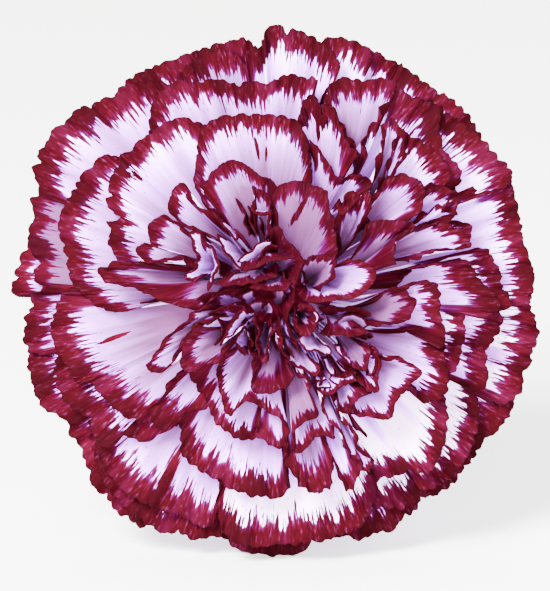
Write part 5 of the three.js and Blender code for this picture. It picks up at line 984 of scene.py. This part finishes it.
def make_bract(name, direction, node):
    """A broad scale that hugs the foot of the calyx and ends in a short drawn-out point."""
    t = np.linspace(0, 1, 26)[:, None]
    side = np.linspace(-1, 1, 25)
    rise = CALYX_PROFILE[1][0] + BRACT_LENGTH * t * (1 - 0.03 * side ** 2)
    ridge = 0.12 * (1 - np.abs(side)) ** 2
    radius = np.interp(rise, *zip(*CALYX_PROFILE)) + BRACT_GAP + 0.55 * t ** 2 + ridge
    half_angle = np.radians(BRACT_HALF_ANGLE * (1 - t ** 2.2) + 1.2)
    grid = turned_rings(rise, radius, math.radians(direction) + side * half_angle)
    edge = 1 - np.abs(side) * np.ones_like(t)
    bract = make_blade(name, grid, 0.2 + 0.4 * smooth_step(edge, 0, 0.5), bract_skin)
    across = np.broadcast_to(side * 5, rise.shape)
    paint(bract, across_mm=np.tile(across.ravel(), 2), length_mm=np.tile(rise.ravel(), 2))
    finish_piece(bract, "bract", node)


make_calyx()
for k in range(4):
    make_bract(f"bract_scale_{k + 1}", 45 + 90 * k, f"bract_{k + 1}")

# ---------------------------------------------------------------- stem and leaves

STEM_PLACES = np.array(BLOOM_PLACE) + np.array(STEM_ROUTE) * (1, 1, -1)
stem_line = evenly(smooth_curve(from_world(STEM_PLACES)), 401)


def stem_frames(t):
    """Places on the stem, with unit vectors there: sideways, upwards, and along to the bloom."""
    at = np.asarray(t, float) * (len(stem_line) - 1)
    index = np.arange(len(stem_line))
    to_bloom = -unit(look_up(at, index, np.gradient(stem_line, axis=0)))
    up = unit(np.array([0, 1, 0]) - to_bloom * to_bloom[..., 1:2])
    return look_up(at, index, stem_line), np.cross(up, to_bloom), up, to_bloom


def stem_radius(t):
    """It swells at the nodes, and where it meets the calyx."""
    swelling = np.max([np.exp(-((t - node) / NODE_SWELLING[1]) ** 2) for node in STEM_NODES], axis=0)
    top = np.exp(-(t / TOP_SWELLING[1]) ** 2)
    return STEM_RADIUS + TOP_SWELLING[0] * top + NODE_SWELLING[0] * swelling


def make_stem():
    """A round stalk that swells at its two nodes, with shallow ribs and a slanting cut. The cut
    face is a little hollow, and it is pith but for the skin's edge round it."""
    sides = 48
    angle = angles_round(sides)
    t = np.linspace(1, 0, 260)
    place, side, up, to_bloom = [vectors[:, None] for vectors in stem_frames(t)]
    radius = (stem_radius(t)[:, None] + STEM_RIB * np.cos(STEM_RIBS * angle + 0.6))[..., None]
    near_cut = np.clip((t - 0.985) / 0.015, 0, 1)[:, None]
    slant = (CUT_SLANT / 2 * np.sin(angle) * near_cut)[..., None]
    turn = angle[:, None]
    rings = place + side * radius * np.cos(turn) + up * radius * np.sin(turn) + to_bloom * slant
    centre = rings[0].mean(axis=0)
    cut_face = [centre + (rings[0] - centre) * share + to_bloom[0] * depth for share, depth in CUT_RINGS]
    rings = np.concatenate([cut_face, rings])
    rings[-1] += to_bloom[-1] * 0.6
    stem = make_loft("stem_stalk", rings, stem_skin)
    stem.data.materials.append(stem_pith)
    for face in stem.data.polygons:
        if min(face.vertices) < (len(CUT_RINGS) - 1) * sides:
            face.material_index = 1
    length = np.append([t[0]] * len(CUT_RINGS), t) * STEM_LENGTH
    paint(stem, across_mm=np.append(np.tile(angle * 2.2, len(rings)), [0, 0]),
          length_mm=np.append(np.repeat(length, sides), [STEM_LENGTH, 0]))
    finish_piece(stem, "stem", "stem")


def make_leaf(name, node_place, direction, node, seed):
    """A narrow leaf, keeled below and channelled above: its base clasps the stem."""
    rows, columns = 90, 17
    (place,), (side,), (up,), (to_bloom,) = stem_frames([node_place])
    angle = math.radians(direction)
    away = side * math.cos(angle) + up * math.sin(angle)
    clasp = stem_radius(node_place) + 0.55

    # Its middle line leans out from the stem more and more.
    t = np.linspace(0, 1, rows)
    foot_lean, arch, tip_arch = LEAF_LEAN
    lean = np.radians(foot_lean + arch * t ** 0.8 + tip_arch * t ** 4)[1:]
    step = LEAF_LENGTH / (rows - 1)
    along = np.append(0, np.cumsum(step * np.cos(lean)))
    out = clasp + np.append(0, np.cumsum(step * np.sin(lean)))[:, None]
    half = ((LEAF_WIDTH * np.minimum(1, 0.75 + 1.6 * t) * (1 - t ** 3) ** 0.8 + 0.3) / 2)[:, None]

    # It opens from a sleeve round the stem to a shallow channel.
    f = np.linspace(-1, 1, columns)
    wrap = np.radians(78 * f)
    opened = smooth_step(t, 0, 0.16)[:, None]
    sway = 0.9 * soft_noise(t, seed, 0.28)[:, None] * opened
    outward = clasp * np.cos(wrap) * (1 - opened) + (out - 0.42 * half * np.abs(f) ** 1.2) * opened
    aside = clasp * np.sin(wrap) * (1 - opened) + (half * f + sway) * opened
    grid = (place + away * outward[..., None] + np.cross(to_bloom, away) * aside[..., None]
            + to_bloom * along[:, None, None])
    thickness = 0.22 + 0.4 * (1 - np.abs(f)) ** 1.5 * (1 - 0.6 * t[:, None])
    leaf = make_blade(name, grid, thickness, leaf_skin)
    paint(leaf, across_mm=np.tile((half * f).ravel(), 2),
          length_mm=np.tile(np.repeat(t * LEAF_LENGTH, columns), 2))
    finish_piece(leaf, "leaf", node)


make_stem()
for k, (pair, node_place, direction) in enumerate(LEAF_PAIRS):
    make_leaf(f"{pair}_leaf_left", node_place, direction, f"leaf_{pair}_left", 3 + k)
    make_leaf(f"{pair}_leaf_right", node_place, direction + 180, f"leaf_{pair}_right", 13 + k)

# ---------------------------------------------------------------- floor, light and camera

floor_corners = FLOOR_HALF_WIDTH * np.array([(-1, -1, 0), (1, -1, 0), (1, 1, 0), (-1, 1, 0)])
floor = make_object("studio_floor", floor_corners, [(0, 1, 2, 3)], plain_paper())

world = bpy.data.worlds.new("studio")
bpy.context.scene.world = world
world.use_nodes = True
background = world.node_tree.nodes["Background"]
background.inputs["Color"].default_value = colour("#FFFFFF")
background.inputs["Strength"].default_value = SKY_STRENGTH

middle_of_bloom = to_world(np.array(LOOK_AT))
bloom_axis = np.array([0.0, -math.cos(FACE_TILT), math.sin(FACE_TILT)])


def look_along(piece, offset):
    """Puts a lamp or the camera at an offset from the bloom, in metres, looking at the bloom."""
    piece.location = middle_of_bloom + offset
    piece.rotation_euler = Vector(-offset).to_track_quat("-Z", "Y").to_euler()
    bpy.context.scene.collection.objects.link(piece)


for name, offset, size, power in LAMPS:
    light = bpy.data.lights.new(name, "AREA")
    light.size = size
    light.energy = power
    look_along(bpy.data.objects.new(name, light), np.array(offset))

lens = bpy.data.cameras.new("camera")
lens.sensor_width = 36
lens.lens = lens.sensor_width * CAMERA_DISTANCE / PICTURE_HEIGHT
lens.clip_start = 0.01
lens.clip_end = 20
camera = bpy.data.objects.new("camera", lens)
look_along(camera, bloom_axis * CAMERA_DISTANCE)
bpy.context.scene.camera = camera
